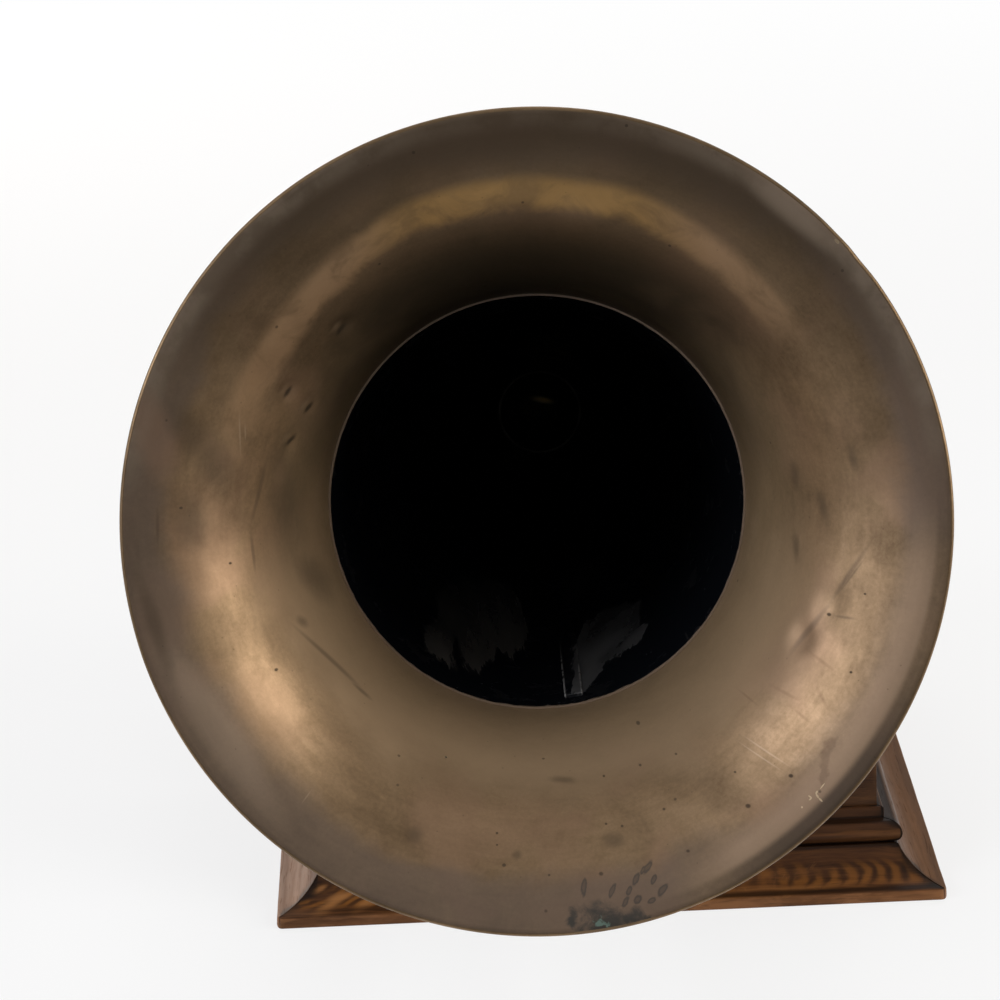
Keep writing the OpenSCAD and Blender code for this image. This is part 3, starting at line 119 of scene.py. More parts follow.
def set_floor():
    """A pale sheet that reads as white and keeps the shadow. Its front part isn't mirrored in the bell."""
    m = Finish("pale_sheet")
    rays = m.node("ShaderNodeLightPath").outputs
    seen = m.most(rays["Is %s Ray" % kind] for kind in ("Camera", "Glossy", "Transmission"))
    share = m.times(seen, m.span(m.vectors("LENGTH", m.coords, out="Value"), 0.7, 2.4, 0.72, 1.0))
    paper = m.add("ShaderNodeBsdfDiffuse", {"Color": (0.88, 0.88, 0.875)})
    white = m.add("ShaderNodeEmission", {"Strength": 1})
    sheet = m.add("ShaderNodeMixShader", {0: share, 1: paper, 2: white})
    m.put(m.tree.nodes["Material Output"].inputs["Surface"], sheet)
    m.tree.nodes.remove(m.shader)
    for name, middle_y, depth in (("studio_floor", 9.05, 20), ("studio_floor_front", -8.45, 15)):
        fresh()
        bpy.ops.mesh.primitive_plane_add(size=1)
        floor = bpy.context.object
        floor.name = name
        place(floor, Matrix.Translation((0, middle_y, 0)) @ Matrix.Diagonal((40, depth, 1, 1)))
        floor.data.materials.append(m.mat)
    for ray in ("diffuse", "glossy", "transmission"):
        setattr(floor, "visible_" + ray, False)


# Modelling by hand

def leave_edit():
    bpy.ops.object.mode_set(mode="OBJECT")


def fresh():
    """Object mode with nothing selected."""
    if bpy.context.object and bpy.context.object.mode != "OBJECT":
        leave_edit()
    bpy.ops.object.select_all(action="DESELECT")


def pick(obj):
    """Only this object is selected and active."""
    fresh()
    obj.select_set(True)
    bpy.context.view_layer.objects.active = obj


def edit_all(obj):
    pick(obj)
    bpy.ops.object.mode_set(mode="EDIT")
    bpy.ops.mesh.select_all(action="SELECT")


def select_where(obj, kind, wanted):
    """Edit mode with the vertices or edges that meet the test selected."""
    pick(obj)
    bpy.ops.object.mode_set(mode="EDIT")
    bpy.ops.mesh.select_mode(type=kind)
    bpy.ops.mesh.select_all(action="DESELECT")
    leave_edit()
    for part in {"VERT": obj.data.vertices, "EDGE": obj.data.edges}[kind]:
        part.select = wanted(part)
    bpy.ops.object.mode_set(mode="EDIT")


def apply(obj, kind, **settings):
    """Adds a modifier and applies it."""
    pick(obj)
    mod = obj.modifiers.new(kind.lower(), kind)
    for key, value in settings.items():
        setattr(mod, key, value)
    bpy.ops.object.modifier_apply(modifier=mod.name)


def waves(obj, name, size, depth, share=None, middle=0.5):
    """Lets a surface run a little unevenly. The share, of a point in the piece's own frame, fades it out."""
    texture = bpy.data.textures.new(name, "CLOUDS")
    texture.noise_scale = size * MM
    group = obj.vertex_groups.new(name=name)
    for vert in obj.data.vertices:
        group.add([vert.index], max(0.0, min(1.0, share(vert.co / MM))) if share else 1.0, "REPLACE")
    apply(obj, "DISPLACE", texture=texture, strength=depth * MM, mid_level=middle, texture_coords="LOCAL",
          vertex_group=name)


def turned(name, profile, sides):
    """A ring is drawn at the first point and extruded ring by ring along (radius, height) pairs in mm."""
    fresh()
    first_r, first_h = profile[0]
    bpy.ops.mesh.primitive_circle_add(vertices=sides, radius=first_r * MM)
    obj = bpy.context.object
    obj.name = name
    edit_all(obj)
    bpy.ops.transform.translate(value=(0, 0, first_h * MM))
    for (r0, h0), (r1, h1) in zip(profile, profile[1:]):
        bpy.ops.mesh.extrude_edges_move(TRANSFORM_OT_translate={"value": (0, 0, (h1 - h0) * MM)})
        bpy.ops.transform.resize(value=(r1 / r0, r1 / r0, 1), center_override=(0, 0, 0))
    leave_edit()
    return obj


def face_out(obj):
    """Turns all faces the same way, outwards on a closed piece."""
    edit_all(obj)
    bpy.ops.mesh.normals_make_consistent(inside=False)
    leave_edit()


def closed(obj, near=2e-6):
    """Joins points that lie on each other, so that the piece has no open edge."""
    edit_all(obj)
    bpy.ops.mesh.remove_doubles(threshold=near)
    face_out(obj)


def look_inwards(obj):
    """Turns an open skin so that its faces look at its own axis."""
    face_out(obj)
    face = obj.data.polygons[0]
    if face.normal.xy.dot(face.center.xy) > 0:
        edit_all(obj)
        bpy.ops.mesh.flip_normals()
        leave_edit()


def place(obj, matrix):
    """Moves a piece to its place and puts the place into its mesh."""
    pick(obj)
    obj.matrix_world = matrix
    bpy.ops.object.transform_apply(location=True, rotation=True, scale=True)


def smooth(obj, angle=ARRIS_ANGLE):
    pick(obj)
    bpy.ops.object.shade_smooth_by_angle(angle=radians(angle))


def dressed(obj, finish, node):
    """Gives a piece its finish and the body of the CAD node that it stands for, and hides that node."""
    obj.data.materials.clear()
    obj.data.materials.append(finish)
    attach(obj, body_of[node])
    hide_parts(node)


def merged_copy(node, name):
    """A copy of a CAD piece with its triangles joined into whole faces."""
    pick(nodes[node])
    bpy.ops.object.duplicate()
    obj = bpy.context.object
    obj.name = name
    obj.parent = None
    for key in list(obj.keys()):
        del obj[key]
    bpy.ops.mesh.customdata_custom_splitnormals_clear()
    edit_all(obj)
    bpy.ops.mesh.remove_doubles(threshold=2e-6)
    bpy.ops.mesh.dissolve_limited(angle_limit=radians(0.6))
    leave_edit()
    return obj


def eased(node, width, segments=2):
    """A copy of a CAD piece with its arrises rounded over."""
    obj = merged_copy(node, node + "_eased")
    apply(obj, "BEVEL", width=width * MM, segments=segments, limit_method="ANGLE",
          angle_limit=radians(ARRIS_ANGLE), use_clamp_overlap=True)
    edit_all(obj)
    bpy.ops.mesh.dissolve_degenerate(threshold=1e-6)
    smooth(obj)
    return obj


def saw_slot(obj, at, turn, length, width):
    """A driver slot across a screw head, as deep as it is wide, sawn at a place in the machine's frame."""
    fresh()
    bpy.ops.mesh.primitive_cube_add(size=1)
    saw = bpy.context.object
    size = Matrix.Diagonal((length * MM, width * MM, 2 * width * MM, 1))
    saw.matrix_world = at @ Matrix.Rotation(radians(turn), 4, "Z") @ size
    apply(obj, "BOOLEAN", operation="DIFFERENCE", object=saw, solver="EXACT")
    bpy.data.objects.remove(saw)


# Finishes

class Nodes:
    """Adds nodes to a tree, and sets or links their sockets."""

    def __init__(self, tree):
        self.tree = tree

    def node(self, kind, inputs=(), **props):
        made = self.tree.nodes.new(kind)
        for key, value in props.items():
            setattr(made, key, value)
        for key, value in dict(inputs).items():
            self.put(made.inputs[key], value)
        return made

    def add(self, kind, inputs=(), out=0, **props):
        """One output of a new node."""
        return self.node(kind, inputs, **props).outputs[out]

    def put(self, socket, value):
        if isinstance(value, bpy.types.NodeSocket):
            self.tree.links.new(value, socket)
        elif socket.type == "RGBA":
            socket.default_value = (*value, 1)
        else:
            socket.default_value = value

    def mix(self, share, a, b):
        return self.add("ShaderNodeMix", {0: share, 6: a, 7: b}, 2, data_type="RGBA")


class Finish(Nodes):
    """The nodes of one finish, on the piece's own coordinates or the horn's. Sizes are in mm."""

    def __init__(self, name, on_horn=False, **constants):
        self.mat = bpy.data.materials.new(name)
        self.mat.use_nodes = True
        super().__init__(self.mat.node_tree)
        self.shader = self.tree.nodes["Principled BSDF"]
        for key, value in constants.items():
            self.shader.inputs[key.replace("_", " ").title().replace("Ior", "IOR")].default_value = value
        self.own = self.node("ShaderNodeTexCoord").outputs
        self.coords = self.own["Object"]
        if on_horn:
            self.coords = self.moved(HORN_AT, HORN_TURN)

    def moved(self, at=(0, 0, 0), turn=(0, 0, 0), size=(1, 1, 1), source=None):
        """Coordinates as seen from a place that is turned and stretched."""
        places = {"Vector": source or self.coords, "Location": at, "Rotation": turn, "Scale": size}
        return self.add("ShaderNodeMapping", places, vector_type="TEXTURE")

    def noise(self, size, detail=4, rough=0.55, warp=0, source=None, out=0):
        return self.add("ShaderNodeTexNoise", {"Vector": source or self.coords, "Scale": 1 / (size * MM),
                                               "Detail": detail, "Roughness": rough, "Distortion": warp}, out)

    def cells(self, size, out="Distance"):
        return self.add("ShaderNodeTexVoronoi", {"Vector": self.coords, "Scale": 1 / (size * MM)}, out)

    def bands(self, period, warp, detail, source):
        """Stripes across X. The texture's own wave runs 20 radians in a unit."""
        return self.add("ShaderNodeTexWave", {"Vector": source, "Scale": 2 * pi / (20 * period * MM),
                                              "Distortion": warp, "Detail": detail}, "Fac")

    def sum(self, kind, a, b):
        return self.add("ShaderNodeMath", {0: a, 1: b}, operation=kind)

    def plus(self, a, b):
        return self.sum("ADD", a, b)

    def less(self, a, b):
        return self.sum("SUBTRACT", a, b)

    def more(self, value, other, share):
        """A value plus a share of another one, kept between 0 and 1."""
        return self.add("ShaderNodeMath", {0: other, 1: share, 2: value}, operation="MULTIPLY_ADD",
                        use_clamp=True)

    def times(self, *values):
        return reduce(lambda a, b: self.sum("MULTIPLY", a, b), values)

    def most(self, values):
        return reduce(lambda a, b: self.sum("MAXIMUM", a, b), values)

    def size(self, value):
        return self.sum("ABSOLUTE", value, 0.0)

    def blend(self, *parts):
        """Sum of values, each times its share."""
        total = 0.0
        for value, share in parts:
            total = self.add("ShaderNodeMath", {0: value, 1: share, 2: total}, operation="MULTIPLY_ADD")
        return total

    def pushed(self, value, noise, by):
        """A value that a noise pushes to and fro."""
        return self.plus(value, self.times(self.less(noise, 0.5), by))

    def span(self, value, low, high, to_low=0.0, to_high=1.0):
        return self.add("ShaderNodeMapRange", {0: value, 1: low, 2: high, 3: to_low, 4: to_high},
                        interpolation_type="SMOOTHSTEP")

    def between(self, value, start, full, fade, end):
        """1 from full to fade, and 0 before the start and after the end."""
        return self.times(self.span(value, start, full), self.span(value, end, fade))

    def tint(self, share, colour, by=None):
        """Lays a colour over the colour so far, by a share or by a part of it."""
        self.colour = self.mix(self.times(share, by) if by else share, self.colour, colour)

    def ramp(self, value, *stops):
        made = self.node("ShaderNodeValToRGB", {0: value})
        band = made.color_ramp
        while len(band.elements) < len(stops):
            band.elements.new(0.5)
        for element, (at, colour) in zip(band.elements, stops):
            element.position = at
            element.color = (*colour, 1)
        return made.outputs[0]

    def xyz(self, source=None):
        return self.node("ShaderNodeSeparateXYZ", {0: source or self.coords}).outputs

    def vector(self, x, y, z):
        return self.add("ShaderNodeCombineXYZ", {0: x, 1: y, 2: z})

    def vectors(self, kind, a, b=(0, 0, 0), out="Vector"):
        return self.add("ShaderNodeVectorMath", {0: a, 1: b}, out, operation=kind)

    def distance(self, a, b):
        """Distance from an axis, from the two coordinates across it."""
        return self.vectors("LENGTH", self.vector(a, 0.0, b), out="Value")

    def mark(self, x, z, long, wide, turn=0, source=None):
        """An oval spot seen along the Y axis of the coordinates: 1 in its middle, 0 at its edge."""
        spot = self.moved((x * MM, 0, z * MM), (0, radians(turn), 0), (long * MM, 100, wide * MM), source)
        return self.add("ShaderNodeTexGradient", {0: spot}, "Fac", gradient_type="SPHERICAL")

    def stroke(self, a, b, wide, source=None):
        """A tapering scratch from one place to another."""
        (xa, za), (xb, zb) = a, b
        return self.mark((xa + xb) / 2, (za + zb) / 2, hypot(xb - xa, zb - za) / 2, wide,
                         -degrees(atan2(zb - za, xb - xa)), source)

    def marks(self, places, source=None):
        return self.most(self.mark(*place, source=source) for place in places)

    def strokes(self, places, source=None):
        return self.most(self.stroke(*place, source=source) for place in places)

    def shaken(self, size, by):
        """Coordinates pushed to and fro, which makes the outlines of marks ragged."""
        push = self.vectors("SUBTRACT", self.noise(size, 3, 0.5, out=1), (0.5, 0.5, 0.5))
        return self.add("ShaderNodeVectorMath", {0: push, 1: (by * MM,) * 3, 2: self.coords}, operation="MULTIPLY_ADD")

    def torn(self, marks, ragged, by):
        """Marks with ragged outlines that stay within their ovals."""
        return self.times(self.blend((marks, 1.0), (ragged, by)), self.span(marks, 0.0, 0.12))

    def specks(self, size, full, edge, above):
        """Round specks in the cells whose own random value lies above a limit."""
        chosen = self.sum("GREATER_THAN", self.xyz(self.cells(size, "Color"))[0], above)
        return self.times(self.span(self.cells(size), edge, full), chosen)

    def bulge(self):
        """More than a half on arrises, less than a half in hollows."""
        return self.add("ShaderNodeNewGeometry", out="Pointiness")

    def rubbed(self, start, full, size, none, whole):
        """Arrises that are worn in places of a size."""
        return self.times(self.span(self.bulge(), start, full), self.span(self.noise(size, 4, 0.6), none, whole))

    def outward(self, centre, axis):
        """1 where a face looks away from an axis, 0 where it looks towards it."""
        away = self.vectors("SUBTRACT", self.own["Object"], centre)
        across = self.vectors("SUBTRACT", away, self.vectors("PROJECT", away, axis))
        return self.sum("GREATER_THAN", self.vectors("DOT_PRODUCT", self.own["Normal"], across, "Value"), 0.0)

    def done(self, roughness, height, depth, strength):
        """Links the results. The bump's depth is in mm."""
        self.put(self.shader.inputs["Base Color"], self.colour)
        self.put(self.shader.inputs["Roughness"], roughness)
        bump = self.add("ShaderNodeBump", {"Height": height, "Distance": depth * MM, "Strength": strength})
        self.put(self.shader.inputs["Normal"], bump)
        return self.mat


# Marks on the bell's face, seen along the horn: across, up, half length, half width and turn. Pits have a radius
BELL_PITS = ((35.2, -81, 1.1), (35.1, -93.6, 0.8), (21.6, -97.3, 0.7), (48.4, -89.5, 0.7), (21.7, -112.3, 0.7),
             (27.5, -113, 0.8), (51, -121.1, 1.0), (-16, -124.7, 1.1), (-18.3, -114.2, 0.7), (-18.4, -118, 0.6),
             (43, -107.3, 0.8), (0.3, -128.6, 0.7), (19.2, -128.6, 1.2), (89.1, -94.8, 1.2), (73.3, -105.5, 1.4),
             (69.3, -94.3, 0.7), (105.4, -38.2, 1.1), (-97, -52, 1.0), (-128, 10, 0.9), (-112, -12, 0.8),
             (112, -58, 0.8), (118, -30, 0.7))
BELL_SMUDGES = ((95.5, 11.9, 8, 2.2, 84), (104.7, 0.1, 9, 2.6, 80), (95.1, -15.1, 8, 2.0, 88),
                (115.2, 19.2, 7, 2.2, 78), (24, -117.5, 6, 4, 0), (6.4, -98.5, 7, 1.6, 4),
                (-48.1, -112.9, 4.5, 4.5, 0), (-11.2, -121.6, 2.6, 2.6, 0), (-88, -37, 4, 2, 50),
                (-123.6, 36.3, 17, 9, 70), (-116, 26, 18, 10, 75), (-125, 4, 15, 9, 86), (-93, 8, 30, 9, 84),
                (-84, -22, 16, 6, 60), (-138, -34, 32, 4, 75))
BELL_DROPS = ((12.8, -133.2, 4.0, 1.3, -80), (36.3, -126.5, 3.2, 1.3, -60), (31.8, -130.8, 3.2, 1.3, -60),
              (41.4, -134.3, 3.4, 1.4, -52), (32.2, -137.3, 2.4, 1.5, -40), (27.5, -138.2, 3.0, 1.2, -62),
              (29.2, -134.2, 2.3, 1.1, -58), (22.9, -134.4, 3.0, 1.0, -64), (38.4, -130.6, 2.2, 1.0, -60),
              (34.6, -127.6, 2.0, 0.9, -58), (37.2, -137.8, 2.0, 1.0, -35))
BELL_STAIN = ((19.1, -147, 13.5, 11.5, 0), (8.5, -144, 4, 5, 0), (30, -144, 6.5, 4, 0), (36, -144, 4, 2.4, 0))
# Dents: across, up and along the horn
BELL_DENTS = ((-68.8, 71.5, -199.4), (-88.9, 49.3, -202.7), (-82.3, 42.5, -188.9), (-89.3, 30.8, -192))
# Strokes: from, to and half width
BELL_SHADED_CREASES = (((122, -9), (104, -37), 1.3), ((109, -30.5), (87.5, -57.5), 1.5),
                ((105.6, -38.4), (116, -39.2), 0.8), ((120, -15), (107, -33), 0.6),
                ((-96.8, 29), (-105.4, -2), 1.0), ((-105, 1), (-103.4, -19), 0.8), ((-136, 13.5), (-136.6, -5.5), 0.9),
                ((-95, -33.5), (-62.5, -68.8), 1.0), ((-72, -59.5), (-62.3, -69), 0.8))
BELL_RUDDY = (((95, -49.6), (109, -59.8), 1.0), ((81.6, -63.3), (95.6, -69.8), 1.0), ((90, -71), (98.2, -77.2), 0.9),
              ((71, -66), (80, -72.5), 0.7), ((99, -62), (103.5, -72), 1.2))
BELL_SMEAR = (((105.8, -80.2), (100.6, -87.5), 1.9), ((103.2, -82), (99.8, -94), 1.9),
              ((101.2, -87), (100.2, -100), 1.9))
BELL_SCRATCHES = (((70, -80.2), (91, -92.9), 0.5), ((68.5, -82.6), (88, -94.4), 0.45),
                  ((-106.3, 45.4), (-106.9, 24.5), 0.5), ((-104.6, 40), (-104.9, 31), 0.4),
                  ((-84.5, -94), (-89, -99.5), 0.4))
BELL_BARE = (((98.4, -99.6), (97.5, -101.1), 0.42), ((97.6, -100.7), (98.7, -102.5), 0.45),
             ((98.4, -102.1), (100, -103.7), 0.42), ((101.1, -96.9), (99.1, -99.3), 0.26),
             ((94.8, -101.4), (96.3, -102.4), 0.36), ((96.2, -102.2), (95, -103.2), 0.36),
             ((92.1, -105.4), (92.9, -105.8), 0.45), ((109.5, 99.2), (111.2, 97.2), 0.7),
             ((-37.4, -88.9), (-35.9, -89.4), 0.34))
# Broad spots of painted highlight and painted shade that reshape the reflections: place, share and colour
BELL_PAINTED_LIGHT_SPOTS = (((-136, 37, 24, 10, 76), 0.5, (0.330, 0.205, 0.135)),
              ((-100, -66, 27, 13, 57), 0.42, (0.250, 0.152, 0.088)),
              ((95, 111, 36, 8, 41), 0.5, (0.420, 0.315, 0.225)),
              ((92, -54, 44, 10, -62), 0.32, (0.200, 0.132, 0.080)),
              ((-117, -72, 50, 9, 58), 0.36, (0.500, 0.365, 0.255)))


def bell_brass():
    """Spun brass that has browned: warm in the middle, with drops, pits and scratches; its grey-brown rim, golden band
    at the top, darker top and some highlights are painted reflection and painted shade.
    """
    m = Finish("bell_brass", on_horn=True, specular_ior_level=0.2)
    x, _, z = m.xyz()
    radius = m.distance(x, z)
    around = m.vector(m.times(m.sum("ARCTAN2", z, x), 0.012), radius, 0.0)

    cloud = m.noise(70, 5, 0.6, 0.5)
    blotch = m.noise(19, 6, 0.62, 0.7)
    wiped = m.noise(2.4, 4, 0.6, 0.2, around)
    mottle = m.noise(1.5, 4, 0.7, 0.3)
    tone = m.blend((cloud, 0.50), (blotch, 0.25), (wiped, 0.10), (mottle, 0.15))
    m.colour = m.ramp(tone, (0.37, (0.130, 0.081, 0.041)), (0.45, (0.205, 0.132, 0.071)),
                      (0.54, (0.292, 0.190, 0.104)), (0.64, (0.400, 0.264, 0.152)))
    ruddy = m.span(m.noise(38, 3, 0.5, 0.3), 0.48, 0.66, 0, 0.4)
    m.tint(ruddy, (0.33, 0.198, 0.122))
    uneven = m.pushed(radius, cloud, 0.035)
    lit_side = m.times(m.span(x, 0.03, 0.08), m.span(z, 0.01, -0.03))
    # Greyer near the rim, less so on the lit lower right: painted darker reflection.
    painted_grey_rim_reflection = m.times(m.span(uneven, 0.126, 0.137, 0, 0.55), m.span(lit_side, 0, 1, 1.0, 0.45))
    m.tint(painted_grey_rim_reflection, (0.158, 0.122, 0.102))
    # The lit side's highlight carried on out to the rim: painted highlight.
    painted_rim_highlight = m.between(radius, 0.131, 0.140, 0.1425, 0.1450)
    m.tint(m.times(painted_rim_highlight, lit_side), (0.54, 0.37, 0.245), 0.48)
    # Darker at the very lip on the lower right: painted darker reflection.
    painted_dark_rim_reflection = m.times(m.span(radius, 0.1415, 0.1450), m.span(x, 0.05, 0.09), m.span(z, -0.05, -0.09))
    m.tint(painted_dark_rim_reflection, (0.085, 0.064, 0.050), 0.7)
    m.tint(m.span(radius, 0.106, 0.083, 0, 0.35), (0.275, 0.200, 0.104))
    # Lighter low in the throat, most on the left: painted highlight that carries the left reflection inwards.
    painted_low_highlight = m.times(m.span(uneven, 0.113, 0.095), m.span(z, 0.010, -0.045, 0, 0.85))
    painted_low_highlight = m.times(painted_low_highlight, m.span(radius, 0.080, 0.097, 0.5, 1.0), m.span(x, 0.05, -0.05, 0.7, 1.0))
    m.tint(painted_low_highlight, (0.53, 0.365, 0.215))
    # Darker towards the top, where the face looks down, and darkest near the throat: painted shade.
    height_up = m.pushed(z, blotch, 0.05)
    m.tint(m.span(height_up, 0.035, 0.120, 0, 0.68), (0.088, 0.060, 0.034))
    shaded = m.times(m.span(height_up, 0.035, 0.085, 0, 0.8), m.span(radius, 0.116, 0.094))
    m.tint(shaded, (0.030, 0.023, 0.014))
    painted_throat_top_shade = m.times(m.span(radius, 0.098, 0.082), m.span(height_up, -0.008, 0.045, 0, 0.62))
    m.tint(painted_throat_top_shade, (0.014, 0.012, 0.008))
    # A golden band across the top of the bell: painted reflection of the pale floor in front.
    from_middle = m.size(x)
    ring_r = m.blend((radius, 1.0), (blotch, 0.006), (m.span(from_middle, 0.03, 0.10, -0.1219, -0.1165), 1.0))
    painted_arc_reflection = m.times(m.span(m.size(ring_r), 0.0082, 0.0026), m.span(blotch, 0.36, 0.56, 0.55, 1.0))
    painted_arc_reflection = m.times(painted_arc_reflection, m.span(m.blend((z, 1.0), (m.sum("MINIMUM", x, 0.0), -0.3)), 0.054, 0.084, 0, 0.70))
    m.tint(painted_arc_reflection, m.mix(m.span(from_middle, 0.035, 0.070), (0.41, 0.240, 0.083), (0.385, 0.240, 0.130)))
    # Lighter just inside the lip at the top, more towards the sides: painted reflection.
    painted_upper_rim_reflection = m.times(m.span(radius, 0.1395, 0.1465), m.span(z, 0.005, 0.045),
                        m.span(from_middle, 0.02, 0.10, 0.3, 0.85),
                        m.span(m.noise(17, 4, 0.6, 0.3), 0.38, 0.60, 0.45, 1.0))
    m.tint(painted_upper_rim_reflection, (0.310, 0.238, 0.172))
    # Painted highlight and painted shade in broad spots.
    for spot, share, tint in BELL_PAINTED_LIGHT_SPOTS:
        m.tint(m.span(m.mark(*spot), 0.0, 0.7, 0, share), tint)

    ragged = m.less(m.noise(7, 5, 0.65, 0.5), 0.5)
    smudges = m.torn(m.marks(BELL_SMUDGES), ragged, 0.5)
    m.tint(m.span(smudges, 0.0, 0.9, 0, 0.46), (0.080, 0.058, 0.038))
    pits = m.span(m.marks([(px, pz, r, r * 0.8) for px, pz, r in BELL_PITS]), 0.1, 0.6)
    specks, dust = m.specks(13, 0.03, 0.06, 0.62), m.specks(5, 0.045, 0.085, 0.66)
    specks = m.most((m.times(specks, 0.8), m.times(dust, 0.38), pits))
    m.tint(specks, (0.045, 0.033, 0.024), 0.7)
    shaky = m.shaken(5, 5.5)
    stain = m.span(m.torn(m.marks(BELL_STAIN, shaky), ragged, 1.5), 0.0, 0.66)
    m.tint(stain, (0.026, 0.030, 0.028), 0.86)
    mint = m.torn(m.mark(18.6, -145.0, 4.6, 2.8, 0, shaky), m.less(mottle, 0.5), 2.6)
    mint = m.span(mint, 0.42, 0.80)
    m.tint(mint, (0.16, 0.24, 0.19), 0.7)
    beaded = m.shaken(6, 1.8)
    drops = m.torn(m.marks(BELL_DROPS, beaded), ragged, 1.3)
    drop_rings = m.times(m.span(drops, 0.0, 0.42), m.span(drops, 0.85, 0.30, 0.62, 1.0))
    m.tint(drop_rings, (0.040, 0.036, 0.031), 0.80)

    smear = m.span(m.torn(m.strokes(BELL_SMEAR, shaky), ragged, 0.7), 0.02, 0.55, 0, 0.36)
    m.tint(smear, (0.125, 0.074, 0.048))
    m.tint(m.span(m.strokes(BELL_RUDDY), 0.0, 0.9, 0, 0.32), (0.165, 0.092, 0.052))
    # The creases are painted darker: painted shade.
    m.tint(m.span(m.strokes(BELL_SHADED_CREASES), 0.0, 0.8, 0, 0.45), (0.075, 0.052, 0.036))
    # Each dent gets a dark side, painted shade, and a light side beside it, painted highlight.
    dents = m.marks([(dx - 0.6, dz - 0.6, 3.8, 1.1, -48) for dx, dz, _ in BELL_DENTS], beaded)
    m.tint(m.span(dents, 0.0, 0.8, 0, 0.85), (0.035, 0.025, 0.016))
    painted_dent_highlight = m.marks([(dx - 1.9, dz + 0.7, 4.5, 1.3, -48) for dx, dz, _ in BELL_DENTS], beaded)
    m.tint(m.span(painted_dent_highlight, 0.0, 0.9, 0, 0.4), (0.36, 0.25, 0.15))
    m.tint(m.span(m.strokes(BELL_SCRATCHES), 0.0, 0.8, 0, 0.4), (0.44, 0.325, 0.22))
    worn_lip = m.times(m.span(radius, 0.1484, 0.1494), m.span(m.noise(22, 4, 0.6), 0.44, 0.62, 0, 0.5))
    bare = m.most((m.span(m.strokes(BELL_BARE), 0.02, 0.35), worn_lip))
    m.tint(bare, (0.74, 0.57, 0.37))

    outer_tone = m.blend((cloud, 0.50), (blotch, 0.15), (wiped, 0.20), (mottle, 0.15))
    aged = m.ramp(outer_tone, (0.38, (0.118, 0.076, 0.040)), (0.50, (0.186, 0.120, 0.064)),
                  (0.62, (0.275, 0.182, 0.100)))
    m.tint(m.outward(HORN_AT, HORN.col[1].xyz), aged)

    metal = m.span(radius, 0.082, 0.112, 0.30, 0.62)
    metal = m.more(metal, m.most((stain, drop_rings, mint)), -0.5)
    m.put(m.shader.inputs["Metallic"], m.more(metal, bare, 0.35))
    satin = m.span(tone, 0.37, 0.64, 0.48, 0.34)
    satin = m.more(satin, m.most((stain, drop_rings, specks)), 0.25)
    satin = m.more(satin, bare, -0.12)
    height = m.plus(m.times(wiped, 0.35), m.less(m.noise(1.1, 3, 0.6), specks))
    return m.done(satin, height, 0.05, 0.35)


# Flaked places in the horn, as on the bell, and the seam's turn about the horn's axis
PATCHES_LEFT = ((-21.8, -58, 17, 10, 20), (-33.9, -55, 15, 10, 38), (-27.1, -62, 16, 10, 20), (-38.8, -57, 12, 8, 40),
                (-14, -62, 14, 9, 10))
PATCHES_RIGHT = ((25.8, -62.7, 15, 8, -37), (18.7, -66.9, 13, 8, -37), (33.3, -59, 12, 6, -37), (17, -71, 9, 5, -37))
SEAM_TURN = -8.6


def black_japan(name, seam=False):
    """Gloss black baked on the horn's tin, flaked grey in ragged patches, bare at its front edge and on its seam."""
    m = Finish(name, on_horn=True, coat_weight=0.2, coat_roughness=0.08, specular_ior_level=0.5)
    _, along, z = m.xyz()
    fine = m.noise(2.2, 5, 0.6)
    clouds = m.noise(14, 6, 0.6, 0.4)
    dulled = m.span(clouds, 0.54, 0.68, 0, 0.7)
    m.colour = m.mix(fine, (0.0050, 0.0060, 0.0085), (0.0075, 0.0085, 0.0110))
    m.tint(dulled, (0.0115, 0.0118, 0.0130))
    chips = []
    for places, turn, tint in ((PATCHES_LEFT, 56, (0.105, 0.096, 0.086)),
                               (PATCHES_RIGHT, -37, (0.100, 0.098, 0.096))):
        brushed = m.noise(4.5, 6, 0.66, 0.3, m.moved(turn=(0, radians(turn), 0), size=(4.5, 50, 1)))
        flaked = m.span(m.blend((m.marks(places), 1.0), (m.less(brushed, 0.5), 1.5)), 0.28, 0.38)
        flaked = m.times(flaked, m.span(brushed, 0.30, 0.66, 0.45, 1.0))
        chips.append(m.times(flaked, m.span(z, -0.046, -0.066, 0.3, 1.0)))
        m.tint(chips[-1], tint)
    scuff = m.span(m.stroke((3, -60), (33, -42.5), 4.5), 0.1, 0.8, 0, 0.3)
    m.tint(scuff, (0.060, 0.058, 0.056))
    if seam:
        from_fold = m.size(m.xyz(m.moved(turn=(0, radians(SEAM_TURN), 0)))[0])
        bare_fold = m.times(m.span(from_fold, 0.0027, 0.0033), m.span(along, -0.050, -0.115, 0, 1.0))
        bare_fold = m.times(bare_fold, m.span(m.noise(6, 5, 0.65, 0.3), 0.34, 0.52))
        chips.append(bare_fold)
        m.tint(bare_fold, (0.34, 0.33, 0.315))
        chips.append(m.times(m.span(fine, 0.5, 0.62), m.span(along, -0.03, -0.10, 0, 0.5)))
        m.tint(chips[-1], (0.066, 0.063, 0.060))
    edge = m.pushed(along, m.noise(5, 5, 0.6), 0.004)
    front = m.span(edge, -0.1472, -0.1480)
    m.tint(front, (0.30, 0.215, 0.150))
    chipped = m.most(chips)
    rough = m.most((m.span(dulled, 0, 0.7, 0.16, 0.34), m.times(chipped, 0.5), m.times(front, 0.45),
                    m.span(along, 0.10, 0.24, 0, 0.55)))
    height = m.less(m.times(fine, 0.4), m.times(chipped, 0.8))
    return m.done(rough, height, 0.05, 0.4)


# Pale streaks on the front foot: from, to and half width
FLAME_STREAKS = (((-150, 5.8), (-121, 13.8), 3.2), ((-131, 6.2), (-103, 13.2), 2.6), ((-151, 11), (-136, 16.5), 2.0))


